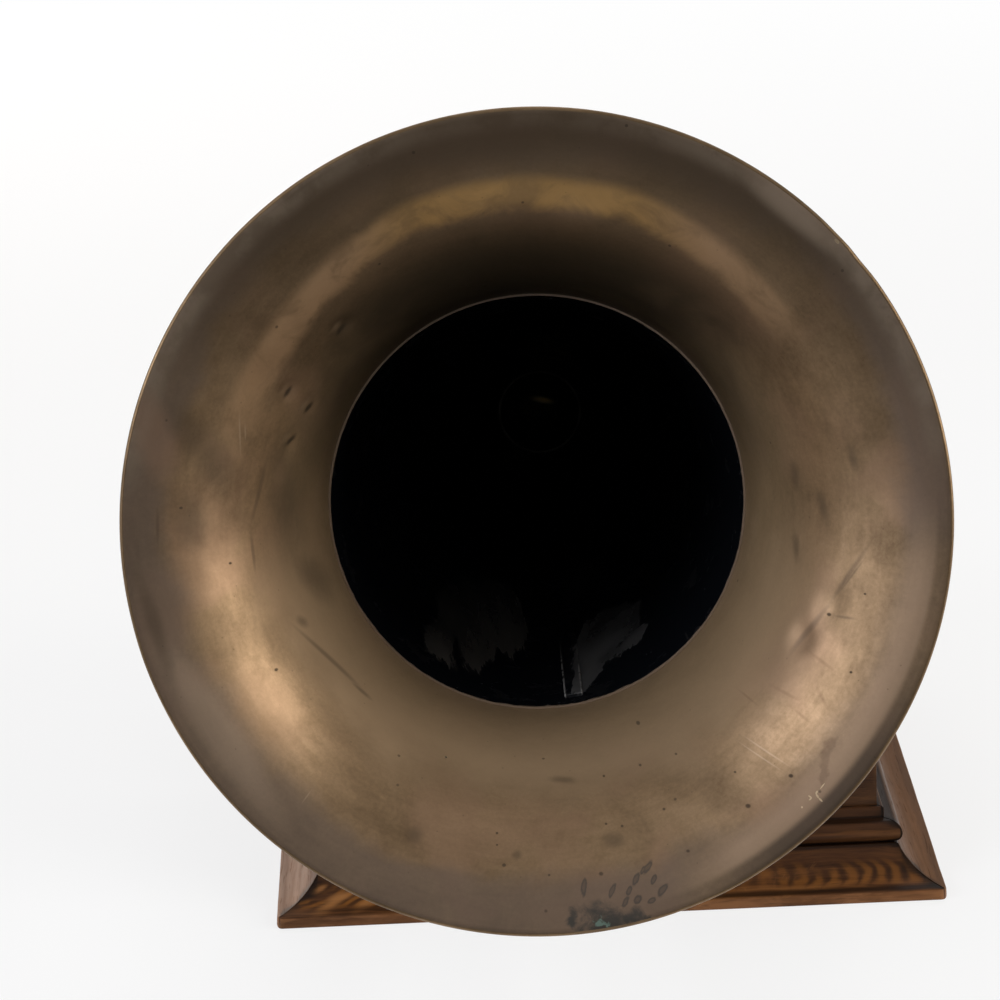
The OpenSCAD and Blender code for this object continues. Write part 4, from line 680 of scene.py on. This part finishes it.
def oak(name, mitred=True, flamed=False):
    """Dark-stained quartered oak. In a mitred frame the grain runs along each length; the foot has flame figure. Shade
    under the bead and the cornice and in the foot's grooves, and a highlight on the bead, are painted.
    """
    m = Finish(name, coat_weight=0.02, coat_roughness=0.3, specular_ior_level=0.12)
    run = m.coords
    x, y, z = m.xyz()
    far_x, far_y = m.size(x), m.size(y)
    farther, nearer = m.sum("MAXIMUM", far_x, far_y), m.sum("MINIMUM", far_x, far_y)
    if mitred:
        side = m.sum("GREATER_THAN", far_x, far_y)
        along = m.add("ShaderNodeMix", {0: side, 2: x, 3: m.plus(y, 5.0)})
        across = m.add("ShaderNodeMix", {0: side, 2: y, 3: x})
        run = m.vector(along, across, z)
    bend = m.vectors("MULTIPLY", m.noise(1000 / 22, 2, 0.5, 0, run, 1), (0.0, 0.006, 0.006))
    bent = m.vectors("ADD", run, bend)
    grain = m.moved(size=(16, 1, 1), source=bent)
    broad = m.noise(10, 3, 0.5, 0.6, grain)
    fine = m.noise(1.9, 4, 0.62, 0.2, grain)
    m.colour = m.ramp(m.blend((broad, 0.62), (fine, 0.38)),
                      (0.36, (0.022, 0.0084, 0.0032)), (0.46, (0.056, 0.0215, 0.0072)),
                      (0.56, (0.112, 0.0440, 0.0140)), (0.66, (0.190, 0.0790, 0.0240)))
    rays = m.noise(1.9, 3, 0.55, 0.4, m.moved(turn=(0, radians(58), radians(58)), size=(1, 7, 7), source=bent))
    patch = m.noise(22, 2, 0.5, 0.5, m.moved(size=(3.4, 1, 1), source=run))
    flecks = m.times(m.span(rays, 0.55, 0.68), m.span(patch, 0.46, 0.62, 0, 0.35))
    m.tint(flecks, (0.215, 0.094, 0.031))
    if flamed:
        front = m.times(m.sum("LESS_THAN", side, 0.5), m.sum("LESS_THAN", y, 0.0))
        level = m.less(z, 0.0105)
        bow = m.times(level, level, 120.0)
        lean = m.times(m.span(along, 0.0, -0.10, 0, -3.4), level)
        wander = m.times(m.noise(30, 3, 0.5, 0.3, run), 0.022)
        place_on = m.blend((along, 1.0), (bow, 1.0), (lean, 1.0), (wander, 1.0))
        tongues = m.bands(7.8, 2.4, 3.0, m.vector(place_on, 0.0, z))
        fading = m.span(m.noise(18, 3, 0.55, 0, m.moved(size=(1.6, 1, 1), source=run)), 0.36, 0.54, 0.1, 1.0)
        cove = m.times(m.between(z, 0.0066, 0.0088, 0.0112, 0.0180), fading, m.plus(m.times(front, 0.88), 0.12))
        golden = m.times(m.span(tongues, 0.10, 0.95, 0.15, 0.92), m.span(x, -0.11, 0.0, 1.0, 0.64))
        m.tint(m.times(cove, golden), (0.195, 0.073, 0.0135))
        dark_lines = m.times(m.span(tongues, 0.22, 0.0, 0, 0.5), m.span(x, -0.12, -0.05, 0.3, 1.0))
        m.tint(m.times(cove, dark_lines), (0.022, 0.0085, 0.0032))
        streaks = m.pushed(m.strokes(FLAME_STREAKS), broad, 1.2)
        m.tint(m.times(m.span(streaks, 0.1, 0.8, 0, 0.8), front), (0.350, 0.152, 0.047))
        uneven = m.noise(14, 4, 0.6, 0.4, m.moved(size=(3, 1, 1), source=run))
        fillet = m.times(m.span(z, 0.0058, 0.0050), m.span(uneven, 0.38, 0.58, 0.25, 0.9))
        m.tint(fillet, (0.250, 0.112, 0.046))
        # The side lengths are browner, the left one lighter and warmer than the right: partly the wood's tone, partly
        # painted light.
        m.tint(side, m.mix(m.span(x, -0.02, 0.02), (0.262, 0.108, 0.041), (0.175, 0.078, 0.027)), 0.55)
        # A brighter band along the top of the bead: painted highlight.
        painted_bead_highlight = m.between(z, 0.0262, 0.0290, 0.0312, 0.0328)
        m.tint(m.times(painted_bead_highlight, m.span(broad, 0.40, 0.60, 0.1, 0.85)), (0.270, 0.112, 0.030))
        # Darker in the upper cove, under the bead: painted shade.
        m.tint(m.span(z, 0.0125, 0.0195, 0, 0.55), (0.040, 0.0165, 0.0072))
        # Darker on the fillet above the bead: painted shade.
        m.tint(m.span(z, 0.0332, 0.0345, 0, 0.5), (0.030, 0.0125, 0.0055))
        # Dark lines in the grooves below the cove, under the bead and above it: painted shade, fainter on the side
        # lengths and towards the left.
        painted_low_groove_shade = m.between(z, 0.0056, 0.0062, 0.0064, 0.0075)
        painted_low_groove_shade = m.times(painted_low_groove_shade, m.span(x, -0.13, -0.05, 0.3, 1.0), m.span(side, 0, 1, 1.0, 0.25))
        painted_groove_shade = m.most((painted_low_groove_shade, m.between(z, 0.0200, 0.0216, 0.0236, 0.0250),
                         m.between(z, 0.0326, 0.0334, 0.0342, 0.0350)))
        m.tint(painted_groove_shade, (0.008, 0.0036, 0.0018), 0.8)
        mitres = m.span(m.size(m.less(far_x, far_y)), 0.0010, 0.0003, 0, 0.4)
        m.tint(mitres, (0.008, 0.0040, 0.0020))
    pores = m.span(m.noise(0.8, 2, 0.5, 0, m.moved(size=(30, 1, 1), source=bent)), 0.40, 0.32)
    m.tint(pores, (0.008, 0.004, 0.002), 0.25 if flamed else 0.45)
    if flamed:
        # Darker in hollows.
        bulge = m.bulge()
        arris, darkening = m.span(bulge, 0.515, 0.56), m.span(bulge, 0.485, 0.44, 0, 0.85)
    elif mitred:
        arris = m.most((m.span(nearer, 0.1312, 0.1338), m.span(farther, 0.1408, 0.1428)))
        # Darker under the cornice and low on the walls, above the foot: painted shade.
        below = m.times(m.span(z, 0.1235, 0.1292), m.sum("LESS_THAN", farther, 0.1342))
        darkening = m.times(m.most((below, m.span(z, 0.0950, 0.0450))), 0.6)
    else:
        arris = m.times(m.span(farther, 0.1455, 0.1487), m.span(m.size(m.less(z, 0.153)), 0.0048, 0.0066))
        # Darker towards the middle of the board.
        darkening = m.span(farther, 0.128, 0.116, 0, 0.25)
    rubbed = m.times(arris, m.span(m.noise(11, 4, 0.6, 0, run), 0.42, 0.60))
    m.tint(rubbed, (0.22, 0.105, 0.045), 0.5)
    m.tint(darkening, (0.006, 0.0035, 0.002))
    rough = m.more(m.span(fine, 0.3, 0.7, 0.46, 0.36), pores, 0.2)
    height = m.less(m.times(fine, 0.6), pores)
    return m.done(rough, height, 0.08 if flamed else 0.12, 0.5)


def pine():
    m = Finish("bare_pine", specular_ior_level=0.3)
    grain = m.moved(size=(18, 1, 1))
    rings = m.noise(12, 3, 0.5, 0.8, grain)
    fine = m.noise(2.0, 4, 0.6, 0, grain)
    tone = m.blend((rings, 0.65), (fine, 0.35))
    m.colour = m.ramp(tone, (0.34, (0.18, 0.098, 0.042)), (0.52, (0.33, 0.20, 0.098)), (0.68, (0.45, 0.30, 0.165)))
    # Darker clouds of dirt.
    darkening = m.span(m.noise(50, 4, 0.6, 0.4), 0.5, 0.7, 0, 0.5)
    m.tint(darkening, (0.10, 0.062, 0.035))
    return m.done(m.span(fine, 0.3, 0.7, 0.78, 0.62), fine, 0.15, 0.5)


def handle_wood():
    """A turned grip, stained dark and polished by hands."""
    m = Finish("handle_wood", coat_weight=0.45, coat_roughness=0.18)
    grain = m.moved(size=(12, 1, 1))
    fine = m.noise(1.5, 4, 0.6, 0.3, grain)
    broad = m.noise(7, 3, 0.5, 0.4, grain)
    tone = m.blend((broad, 0.5), (fine, 0.5))
    m.colour = m.ramp(tone, (0.36, (0.020, 0.0075, 0.0042)), (0.52, (0.062, 0.021, 0.0098)),
                      (0.66, (0.125, 0.046, 0.018)))
    m.tint(m.rubbed(0.51, 0.58, 6, 0.4, 0.6), (0.22, 0.105, 0.048), 0.6)
    return m.done(m.span(fine, 0.3, 0.7, 0.42, 0.28), fine, 0.08, 0.4)


def worn_metal(name, plain, dark, bare, gloss=0.28, spread=0.22, rubs=0.6, pitting=0.4):
    """Metal with clouded tarnish, fine wiping marks, rubbed arrises and a few pits."""
    m = Finish(name, metallic=1.0)
    cloud = m.noise(26, 5, 0.6, 0.5)
    fine = m.noise(3.2, 5, 0.62, 0.2)
    wiping = m.noise(0.7, 3, 0.6, 0, m.moved(turn=(0.3, 0.5, 0.2), size=(14, 1, 3)))
    tone = m.blend((cloud, 0.6), (fine, 0.4))
    m.colour = m.mix(m.span(tone, 0.62, 0.40, 0, 0.85), plain, dark)
    specks = m.times(m.span(m.cells(5.5), 0.16, 0.08), m.sum("GREATER_THAN", m.noise(9, 3), 0.53))
    m.tint(specks, [c * 0.25 for c in dark], pitting)
    m.tint(m.rubbed(0.515, 0.57, 6, 0.38, 0.56), bare, rubs)
    rough = m.more(m.span(tone, 0.36, 0.64, gloss + spread, gloss), wiping, 0.10)
    rough = m.more(rough, specks, 0.25)
    height = m.less(m.times(wiping, 0.4), m.times(specks, 0.8))
    return m.done(rough, height, 0.03, 0.4)


# The elbow: radius of its bend, where the bend starts along the horn, and half its bore
ELBOW_BEND, ELBOW_START, ELBOW_BORE = 30.0, 336.3, 10.0


def horn_brass(name, bent):
    """Brass that is tarnished outside and near black inside, which is painted shade, with a painted glint where the
    elbow shows in the horn.
    """
    m = Finish(name, on_horn=True)
    x, y, z = m.xyz()
    cloud = m.noise(12, 5, 0.6, 0.5)
    fine = m.noise(2.4, 5, 0.62, 0.2)
    m.colour = m.ramp(m.blend((cloud, 0.6), (fine, 0.4)),
                      (0.36, (0.20, 0.125, 0.052)), (0.52, (0.42, 0.28, 0.115)), (0.66, (0.55, 0.375, 0.16)))
    if bent:
        over = m.sum("MAXIMUM", m.plus(x, ELBOW_BEND * MM), 0.0)
        past = m.sum("MAXIMUM", m.less(y, ELBOW_START * MM), 0.0)
        from_axis = m.distance(m.less(m.distance(over, past), ELBOW_BEND * MM), z)
        painted_inner_shade = m.span(from_axis, (ELBOW_BORE + 0.7) * MM, (ELBOW_BORE + 0.3) * MM)
        # A bright golden mark on the elbow's inner wall: painted glint.
        painted_glint = m.times(m.span(m.mark(1.0, 1.6, 9.0, 2.4, 6), 0.0, 0.8), painted_inner_shade, m.span(x, -0.008, 0.004, 0.3, 1.0))
    else:
        wall = m.span(y, 0.3003, 0.3283, 0.0207, 0.0118)
        painted_inner_shade = m.span(m.less(m.distance(x, z), wall), 0.0006, -0.0002)
    # Near black inside the bore: painted shade.
    m.tint(painted_inner_shade, (0.012, 0.010, 0.007), 0.97)
    rough = m.more(m.span(cloud, 0.35, 0.65, 0.46, 0.26), painted_inner_shade, 0.2)
    shine = m.less(1.0, m.times(painted_inner_shade, 0.6))
    if bent:
        m.tint(painted_glint, (0.95, 0.76, 0.36))
        shine = m.more(shine, painted_glint, -1.0)
    m.put(m.shader.inputs["Metallic"], shine)
    return m.done(rough, fine, 0.04, 0.4)


def enamelled_iron():
    """Cast iron under black enamel, rubbed through at its arrises."""
    m = Finish("enamelled_iron", coat_weight=0.2, coat_roughness=0.25)
    cast = m.noise(2.6, 5, 0.6, 0.3)
    cloud = m.noise(30, 4, 0.6, 0.4)
    m.colour = m.ramp(cloud, (0.35, (0.0075, 0.0075, 0.008)), (0.55, (0.015, 0.0145, 0.014)),
                      (0.7, (0.026, 0.024, 0.022)))
    m.tint(m.rubbed(0.515, 0.57, 7, 0.42, 0.58), (0.16, 0.145, 0.13), 0.8)
    return m.done(m.span(cloud, 0.35, 0.65, 0.46, 0.30), cast, 0.12, 0.5)


def felt():
    """Green felt with an uneven nap, worn paler in rings."""
    m = Finish("green_felt", sheen_weight=0.15, sheen_roughness=0.5, specular_ior_level=0.15)
    x, y, _ = m.xyz()
    radius = m.distance(x, y)
    fibre = m.noise(0.9, 4, 0.7, 1.0)
    nap = m.noise(5.5, 5, 0.65, 0.8)
    cloud = m.noise(42, 4, 0.6, 0.4)
    tone = m.blend((fibre, 0.4), (nap, 0.3), (cloud, 0.3))
    m.colour = m.ramp(tone, (0.36, (0.010, 0.024, 0.012)), (0.50, (0.021, 0.050, 0.024)), (0.64, (0.045, 0.088, 0.044)))
    ring = m.pushed(radius, cloud, 0.02)
    paler = m.most((m.between(ring, 0.104, 0.112, 0.116, 0.122), m.between(ring, 0.024, 0.036, 0.042, 0.05)))
    m.tint(paler, (0.11, 0.135, 0.075), 0.28)
    height = m.plus(fibre, m.times(nap, 0.8))
    return m.done(m.span(nap, 0.3, 0.7, 0.99, 0.88), height, 0.5, 0.6)


def leather():
    m = Finish("leather_pad", specular_ior_level=0.35)
    grain = m.cells(1.1)
    cloud = m.noise(5, 4, 0.6, 0.3)
    m.colour = m.ramp(cloud, (0.35, (0.050, 0.020, 0.009)), (0.55, (0.115, 0.050, 0.021)), (0.7, (0.19, 0.09, 0.04)))
    return m.done(m.span(grain, 0.1, 0.6, 0.72, 0.52), grain, 0.15, 0.6)


def rubber():
    m = Finish("old_rubber", specular_ior_level=0.3)
    cloud = m.noise(4, 5, 0.65, 0.3)
    crack = m.span(m.cells(1.6), 0.10, 0.04)
    m.colour = m.ramp(cloud, (0.35, (0.030, 0.022, 0.018)), (0.6, (0.075, 0.055, 0.045)))
    m.tint(crack, (0.012, 0.009, 0.008), 0.5)
    return m.done(m.span(cloud, 0.3, 0.7, 0.82, 0.62), cloud, 0.1, 0.5)


def mica():
    """Split mica, with flakes and amber clouds."""
    m = Finish("mica_sheet", transmission_weight=0.35, ior=1.58)
    flake = m.xyz(m.cells(7, "Color"))[0]
    cloud = m.noise(9, 5, 0.6, 0.5)
    m.colour = m.ramp(m.blend((flake, 0.35), (cloud, 0.65)),
                      (0.3, (0.42, 0.33, 0.19)), (0.5, (0.62, 0.54, 0.38)), (0.7, (0.74, 0.69, 0.55)))
    return m.done(m.span(cloud, 0.3, 0.7, 0.14, 0.32), m.cells(4), 0.05, 0.4)


# Pieces

# Inner face of the bell: radius at throat and lip, place of the throat, depth, turn of the curve and the horn's taper
BELL_R, BELL_LIP_R, BELL_Y, BELL_DEPTH, BELL_TURN, BODY_SLOPE = 79.4, 148.5, -148.7, 86.3, 78, 0.130067
SHEET, RIM_R = 0.7, 1.3
BELL_RINGS, BELL_SIDES = 60, 288
DENT_REACH, DENT_SPREAD, DENT_DEPTH = 6.5, 85, 0.5
# Pushes into the sheet: place, reach and shift, with places and shifts across, up and along the horn
BELL_PUSHES = (((-95, 55, -213), 17, (-0.7, 0.4, 0.6)), ((-92, 16, -190), 12, (0.5, -0.1, -0.5)),
               ((118, 90, -233), 9, (-0.2, -0.2, 1.0)), ((108, 99, -233), 8, (-0.1, -0.1, 0.8)),
               ((106, -35, -214), 11, (0.5, -0.2, 0.6)), ((95, -48, -209), 9, (0.4, -0.2, 0.5)),
               ((-60, 112, -228), 22, (-0.4, 0.5, 0.7)), ((20, 128, -226), 26, (0.1, 0.5, 0.6)),
               ((-128, -40, -228), 24, (-0.5, -0.2, 0.6)), ((60, -125, -230), 20, (0.2, -0.4, 0.5)))


def bell_point(share):
    """Radius and height on the bell's inner face, from its throat at 0 to its lip at 1."""
    turn = radians(BELL_TURN * share)
    full = radians(BELL_TURN)
    run = BELL_DEPTH * sin(turn) / sin(full)
    swell = BELL_LIP_R - BELL_R - BODY_SLOPE * BELL_DEPTH
    return BELL_R + BODY_SLOPE * run + swell * (1 - cos(turn)) / (1 - cos(full)), BELL_Y - run


def push_dent(obj, where, size, shift):
    """Presses the sheet at the vertex nearest a place, fading out over a size."""
    near = min(obj.data.vertices, key=lambda v: (v.co - Vector(where) * MM).length).index
    select_where(obj, "VERT", lambda v: v.index == near)
    bpy.ops.transform.translate(value=[s * MM for s in shift], use_proportional_edit=True,
                                proportional_size=size * MM, proportional_edit_falloff="SMOOTH")
    leave_edit()


def make_bell():
    """The bell: one skin drawn ring by ring and curled over at the rim, dented, then given its thickness."""
    lap = [(BELL_R - BODY_SLOPE * h, BELL_Y + h) for h in (10, 6, 3)]
    flare = [bell_point(i / BELL_RINGS) for i in range(BELL_RINGS + 1)]
    curl = [(BELL_LIP_R + RIM_R * sin(radians(a)), BELL_Y - BELL_DEPTH + RIM_R - RIM_R * cos(radians(a)))
            for a in range(30, 241, 30)]
    obj = turned("horn_bell_sheet", lap + flare + curl, BELL_SIDES)
    look_inwards(obj)
    dents = [((x, up, y), DENT_REACH, (x / DENT_SPREAD, up / DENT_SPREAD, DENT_DEPTH)) for x, up, y in BELL_DENTS]
    for (x, up, y), reach, (dx, rise, dy) in (*dents, *BELL_PUSHES):
        push_dent(obj, (x, -up, y), reach, (dx, -rise, dy))
    waves(obj, "spun_waves", 45, 0.7, lambda p: min((p.xy.length - 82) / 10, (142 - p.xy.length) / 12))
    apply(obj, "SOLIDIFY", thickness=SHEET * MM, offset=-1)
    place(obj, HORN @ UP_TO_Y)
    smooth(obj, 50)
    dressed(obj, bell_brass(), "horn_bell")


BODY_FRONT_R, BODY_END_R, BODY_END_Y, BODY_RINGS, BODY_SIDES = 78.6, 20.2, 300.3, 44, 180
# The seam: width, height, rounding, how far it is sunk, how far it stops from each end, and its number of lengths
SEAM_W, SEAM_H, SEAM_EDGE, SEAM_SUNK, SEAM_STOP, SEAM_CUTS = 7.2, 1.1, 0.45, 0.25, 10, 24


def make_horn_body():
    """The tin cone: rolled sheet with a folded seam that stands up inside."""
    long, taper = BODY_END_Y - BELL_Y, BODY_END_R - BODY_FRONT_R
    cone = [(BODY_FRONT_R + taper * i / BODY_RINGS, BELL_Y + long * i / BODY_RINGS) for i in range(BODY_RINGS + 1)]
    obj = turned("horn_body_sheet", cone, BODY_SIDES)
    look_inwards(obj)
    waves(obj, "rolled_waves", 60, 0.8, lambda p: min((p.z + 125) / 25, (abs(p.z) - 22) / 20, (275 - p.z) / 25))
    apply(obj, "SOLIDIFY", thickness=SHEET * MM, offset=-1)
    place(obj, HORN @ UP_TO_Y)
    smooth(obj, 50)
    dressed(obj, black_japan("black_japan"), "horn_body")

    fresh()
    bpy.ops.mesh.primitive_cube_add(size=1)
    seam = bpy.context.object
    seam.name = "horn_body_seam"
    seam_long = long - 2 * SEAM_STOP
    place(seam, Matrix.Diagonal((SEAM_W * MM, seam_long * MM, SEAM_H * MM, 1)))
    for i in range(1, SEAM_CUTS):
        edit_all(seam)
        bpy.ops.mesh.bisect(plane_co=(0, (i / SEAM_CUTS - 0.5) * seam_long * MM, 0), plane_no=(0, 1, 0))
    apply(seam, "BEVEL", width=SEAM_EDGE * MM, segments=3, limit_method="ANGLE", angle_limit=radians(40))
    waves(seam, "seam_waves", 20, 0.3)
    middle = (0, (BELL_Y + BODY_END_Y) / 2 * MM, (SEAM_SUNK - (BODY_FRONT_R + BODY_END_R) / 2) * MM)
    slope = Matrix.Rotation(atan2(BODY_SLOPE, 1), 4, "X")
    place(seam, HORN @ Matrix.Rotation(radians(SEAM_TURN), 4, "Y") @ Matrix.Translation(middle) @ slope)
    smooth(seam, 40)
    seam.data.materials.append(black_japan("seam_japan", seam=True))
    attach(seam, "horn")


# The base: half its foot, its rounded corners, how far a length runs past its mitres, and its number of steps
BASE_R, CORNER_R, BASE_SPARE, BASE_STEPS = 165.0, 5.0, 6, 38
# Its cove's depth, height, sag and steps, and its bead's radius and how far that is sunk
COVE_D, COVE_H, COVE_SAG, COVE_STEPS, BEAD_R, BEAD_SUNK = 21.8, 22.3, 3.2, 13, 5.8, 0.64


def base_profile():
    """The moulding's section: distance in from the foot's edge, and height."""
    points = [(1.3, 0.0), (0.55, 0.2), (0.15, 0.6), (0.0, 1.3), (0.0, 4.6), (0.15, 5.3), (0.5, 5.8), (1.0, 6.05)]
    (xa, ya), (xb, yb) = points[-1], (COVE_D, COVE_H)
    chord = hypot(xb - xa, yb - ya)
    for i in range(1, COVE_STEPS):
        t = i / COVE_STEPS
        sag = COVE_SAG * (1 - (2 * t - 1) ** 2)
        points.append((xa + (xb - xa) * t + sag * (yb - ya) / chord, ya + (yb - ya) * t - sag * (xb - xa) / chord))
    points.append((COVE_D, COVE_H))
    cx, cy = COVE_D + BEAD_R * BEAD_SUNK, COVE_H + BEAD_R
    points += [(cx - BEAD_R * cos(radians(a)), cy + BEAD_R * sin(radians(a))) for a in range(-80, 81, 10)]
    points += [(28.0, 33.9), (28.0, 38.4), (28.3, 39.1), (29.0, 39.45), (31.0, 39.45), (31.0, 0.0)]
    return points


def make_base():
    """One length is run to its section, cut to its mitres and worn at its arrises; the others are turned copies."""
    fresh()
    bpy.ops.curve.primitive_bezier_curve_add()
    line = bpy.context.object
    line.data.splines.clear()
    section = base_profile()
    spline = line.data.splines.new("POLY")
    spline.points.add(len(section) - 1)
    for point, (inwards, height) in zip(spline.points, section):
        point.co = (-(BASE_R + BASE_SPARE) * MM, (inwards - BASE_R) * MM, height * MM, 1)
    spline.use_cyclic_u = True
    bpy.ops.object.convert(target="MESH")
    obj = bpy.context.object
    obj.name = "base_length_front"
    edit_all(obj)
    step = 2 * (BASE_R + BASE_SPARE) / BASE_STEPS * MM
    for _ in range(BASE_STEPS):
        bpy.ops.mesh.extrude_edges_move(TRANSFORM_OT_translate={"value": (step, 0, 0)})
    for side in (-1, 1):
        bpy.ops.mesh.select_all(action="SELECT")
        bpy.ops.mesh.bisect(plane_co=(0, 0, 0), plane_no=(side, 1, 0), use_fill=True, clear_outer=True)
        for angle in (22.5, 45):
            out = Vector((side * sin(radians(angle)), -cos(radians(angle)), 0))
            middle = Vector((side, -1, 0)) * (BASE_R - CORNER_R) * MM
            bpy.ops.mesh.select_all(action="SELECT")
            bpy.ops.mesh.bisect(plane_co=middle + out * CORNER_R * MM, plane_no=out, use_fill=True, clear_outer=True)
    closed(obj, 1e-6)
    apply(obj, "BEVEL", width=0.55 * MM, segments=3, limit_method="ANGLE", angle_limit=radians(38))
    waves(obj, "planed_waves", 30, 0.35, lambda p: (p.z - 1) / 3, 1.1)
    smooth(obj, 42)
    finish = oak("moulding_oak", flamed=True)
    lengths = {"front": obj}
    for turn, side in ((90, "right"), (180, "back"), (270, "left")):
        pick(obj)
        bpy.ops.object.duplicate()
        other = bpy.context.object
        other.name = "base_length_" + side
        place(other, Matrix.Rotation(radians(turn), 4, "Z"))
        lengths[side] = other
    for side, piece in lengths.items():
        dressed(piece, finish, "base_moulding_" + side)


def make_case():
    """Walls and cornice with the grain along each length, and the board that closes the top."""
    framed = oak("case_oak")
    for node in ("case_front", "case_right", "case_back", "case_left", "cornice"):
        dressed(eased(node, 0.5), framed, node)
    dressed(eased("top_board", 0.7, 3), oak("board_oak", mitred=False), "top_board")


def make_screws(nickel):
    """Slotted heads on the bracket's screws, the trunnion screws and the brake's pivot."""
    screws = merged_copy("bracket_screws", "bracket_screws_slotted")
    low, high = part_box("bracket_screws")
    face = Matrix.Rotation(radians(90), 4, "X")
    head_r = 0.005
    for x, turn in ((low.x + head_r, 25), (high.x - head_r, -40)):
        for z, more in ((low.z + head_r, 0), (high.z - head_r, 63)):
            saw_slot(screws, Matrix.Translation((x, low.y, z)) @ face, turn + more, 14, 1.3)

    trunnions = merged_copy("trunnion_screws", "trunnion_screws_slotted")
    head_end = 81.7
    for side, turn in ((-1, 20), (1, -55)):
        end = HORN @ Matrix.Translation((side * head_end * MM, 0, 0)) @ Matrix.Rotation(radians(90), 4, "Y")
        saw_slot(trunnions, end, turn, 20, 1.6)

    low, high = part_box("brake_pivot")
    pivot = merged_copy("brake_pivot", "brake_pivot_slotted")
    saw_slot(pivot, Matrix.Translation(((low.x + high.x) / 2, (low.y + high.y) / 2, high.z)), 35, 14, 1.3)
    for obj, node in ((screws, "bracket_screws"), (trunnions, "trunnion_screws"), (pivot, "brake_pivot")):
        smooth(obj)
        dressed(obj, nickel, node)


def make_handle():
    """The crank's grip, turned with two grooves around its bore for the pin."""
    low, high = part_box("crank_handle")
    length = (high.x - low.x) / MM
    bore, across, sunk = 4.35, 23.0, 0.02
    outer = [(0.36, 0), (0.40, 0.012), (0.415, 0.035), (0.41, 0.07), (0.385, 0.085), (0.385, 0.10), (0.42, 0.115),
             (0.455, 0.20), (0.485, 0.32), (0.498, 0.44), (0.50, 0.52), (0.492, 0.64), (0.472, 0.75), (0.455, 0.79),
             (0.44, 0.80), (0.44, 0.815), (0.455, 0.825), (0.438, 0.88), (0.405, 0.93), (0.35, 0.97), (0.29, 0.99),
             (0.24, 1.0)]
    start = (bore, sunk * length)
    profile = [start, *((r * across, h * length) for r, h in outer), (bore, length), start]
    obj = turned("crank_grip", profile, 72)
    closed(obj)
    place(obj, Matrix.Translation((high.x, (low.y + high.y) / 2, (low.z + high.z) / 2)) @ UP_TO_LEFT)
    smooth(obj, 40)
    dressed(obj, handle_wood(), "crank_handle")


FELT_HOLE_R, FELT_RINGS = 5.1, 16


def make_felt():
    """The felt, with a soft rounded edge."""
    low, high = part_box("turntable_felt")
    r_out, r_in, z0, z1 = high.x / MM, FELT_HOLE_R, low.z / MM, high.z / MM
    rings = [(r_in + (r_out - 1.2 - r_in) * i / FELT_RINGS, z1 - 0.12) for i in range(FELT_RINGS + 1)]
    edge = [(r_out - 0.6, z1 - 0.2), (r_out - 0.15, z1 - 0.6), (r_out, z1 - 1.1), (r_out - 0.05, z0)]
    obj = turned("turntable_felt_nap", [(r_in, z0)] + rings + edge + [(r_in, z0)], 144)
    closed(obj)
    smooth(obj, 50)
    dressed(obj, felt(), "turntable_felt")


def make_needle_screw(nickel):
    """The thumb screw, with a knurled head."""
    low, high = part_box("needle_screw")
    centre = (low + high) / 2
    out = Vector((-0.99953359, 0.03053851, 0)).normalized()
    length, tip, sides = 9.8, 9.5, 64
    head = [(1.5, 0), (1.5, 3.4), (3.0, 3.4), (3.6, 4.0), (4.35, 4.6), (4.45, 5.4), (4.45, 8.6), (4.35, 9.2),
            (3.9, 9.7), (3.0, length), (0.4, tip)]
    obj = turned("needle_screw_knurled", head, sides)
    select_where(obj, "VERT", lambda v: 4.5 * MM < v.co.z < 9.3 * MM
                 and round(degrees(atan2(v.co.y, v.co.x)) * sides / 360) % 2 == 0)
    bpy.ops.transform.resize(value=(0.93, 0.93, 1), center_override=(0, 0, 0))
    leave_edit()
    for level in (0, tip):
        select_where(obj, "EDGE", lambda e: all(abs(obj.data.vertices[i].co.z - level * MM) < 1e-5
                                                for i in e.vertices))
        bpy.ops.mesh.edge_face_add()
        leave_edit()
    face_out(obj)
    along = out.to_track_quat("Z", "Y").to_matrix().to_4x4()
    place(obj, Matrix.Translation(centre - out * (length / 2 * MM)) @ along)
    smooth(obj, 28)
    dressed(obj, nickel, "needle_screw")


def finish_nodes():
    """Every piece that keeps its CAD shape gets the finish of its slot, and the outer ones get eased arrises."""
    nickel = worn_metal("worn_nickel", (0.60, 0.565, 0.505), (0.33, 0.285, 0.215), (0.62, 0.45, 0.22))
    steel = worn_metal("oiled_steel", (0.40, 0.395, 0.385), (0.19, 0.17, 0.15), (0.55, 0.54, 0.52),
                       0.32, 0.2, 0.5, 0.6)
    brass = worn_metal("tarnished_brass", (0.50, 0.335, 0.135), (0.235, 0.145, 0.062), (0.68, 0.48, 0.21),
                       0.26, 0.24, 0.6, 0.5)
    finishes = {"nickel": nickel, "steel": steel, "brass": brass, "iron": enamelled_iron(), "pine": pine(),
                "leather": leather(), "rubber": rubber(), "mica": mica()}
    for node, obj in nodes.items():
        if slot_of[node] in finishes:
            obj.data.materials.clear()
            obj.data.materials.append(finishes[slot_of[node]])
    nodes["horn_ferrule"].data.materials[0] = horn_brass("ferrule_brass", False)
    nodes["elbow"].data.materials[0] = horn_brass("elbow_brass", True)
    for node, width in (("horn_bracket", 0.6), ("horn_yoke", 0.6), ("horn_clamp", 0.4), ("crank_bush", 0.5),
                        ("speed_lever", 0.4), ("brake_lever", 0.4), ("soundbox_case", 0.3), ("soundbox_ring", 0.3),
                        ("turntable", 0.5)):
        dressed(eased(node, width), finishes[slot_of[node]], node)
    return nickel


set_camera()
set_floor()
set_light()
set_world()
make_bell()
make_horn_body()
make_base()
make_case()
nickel_finish = finish_nodes()
make_screws(nickel_finish)
make_handle()
make_felt()
make_needle_screw(nickel_finish)
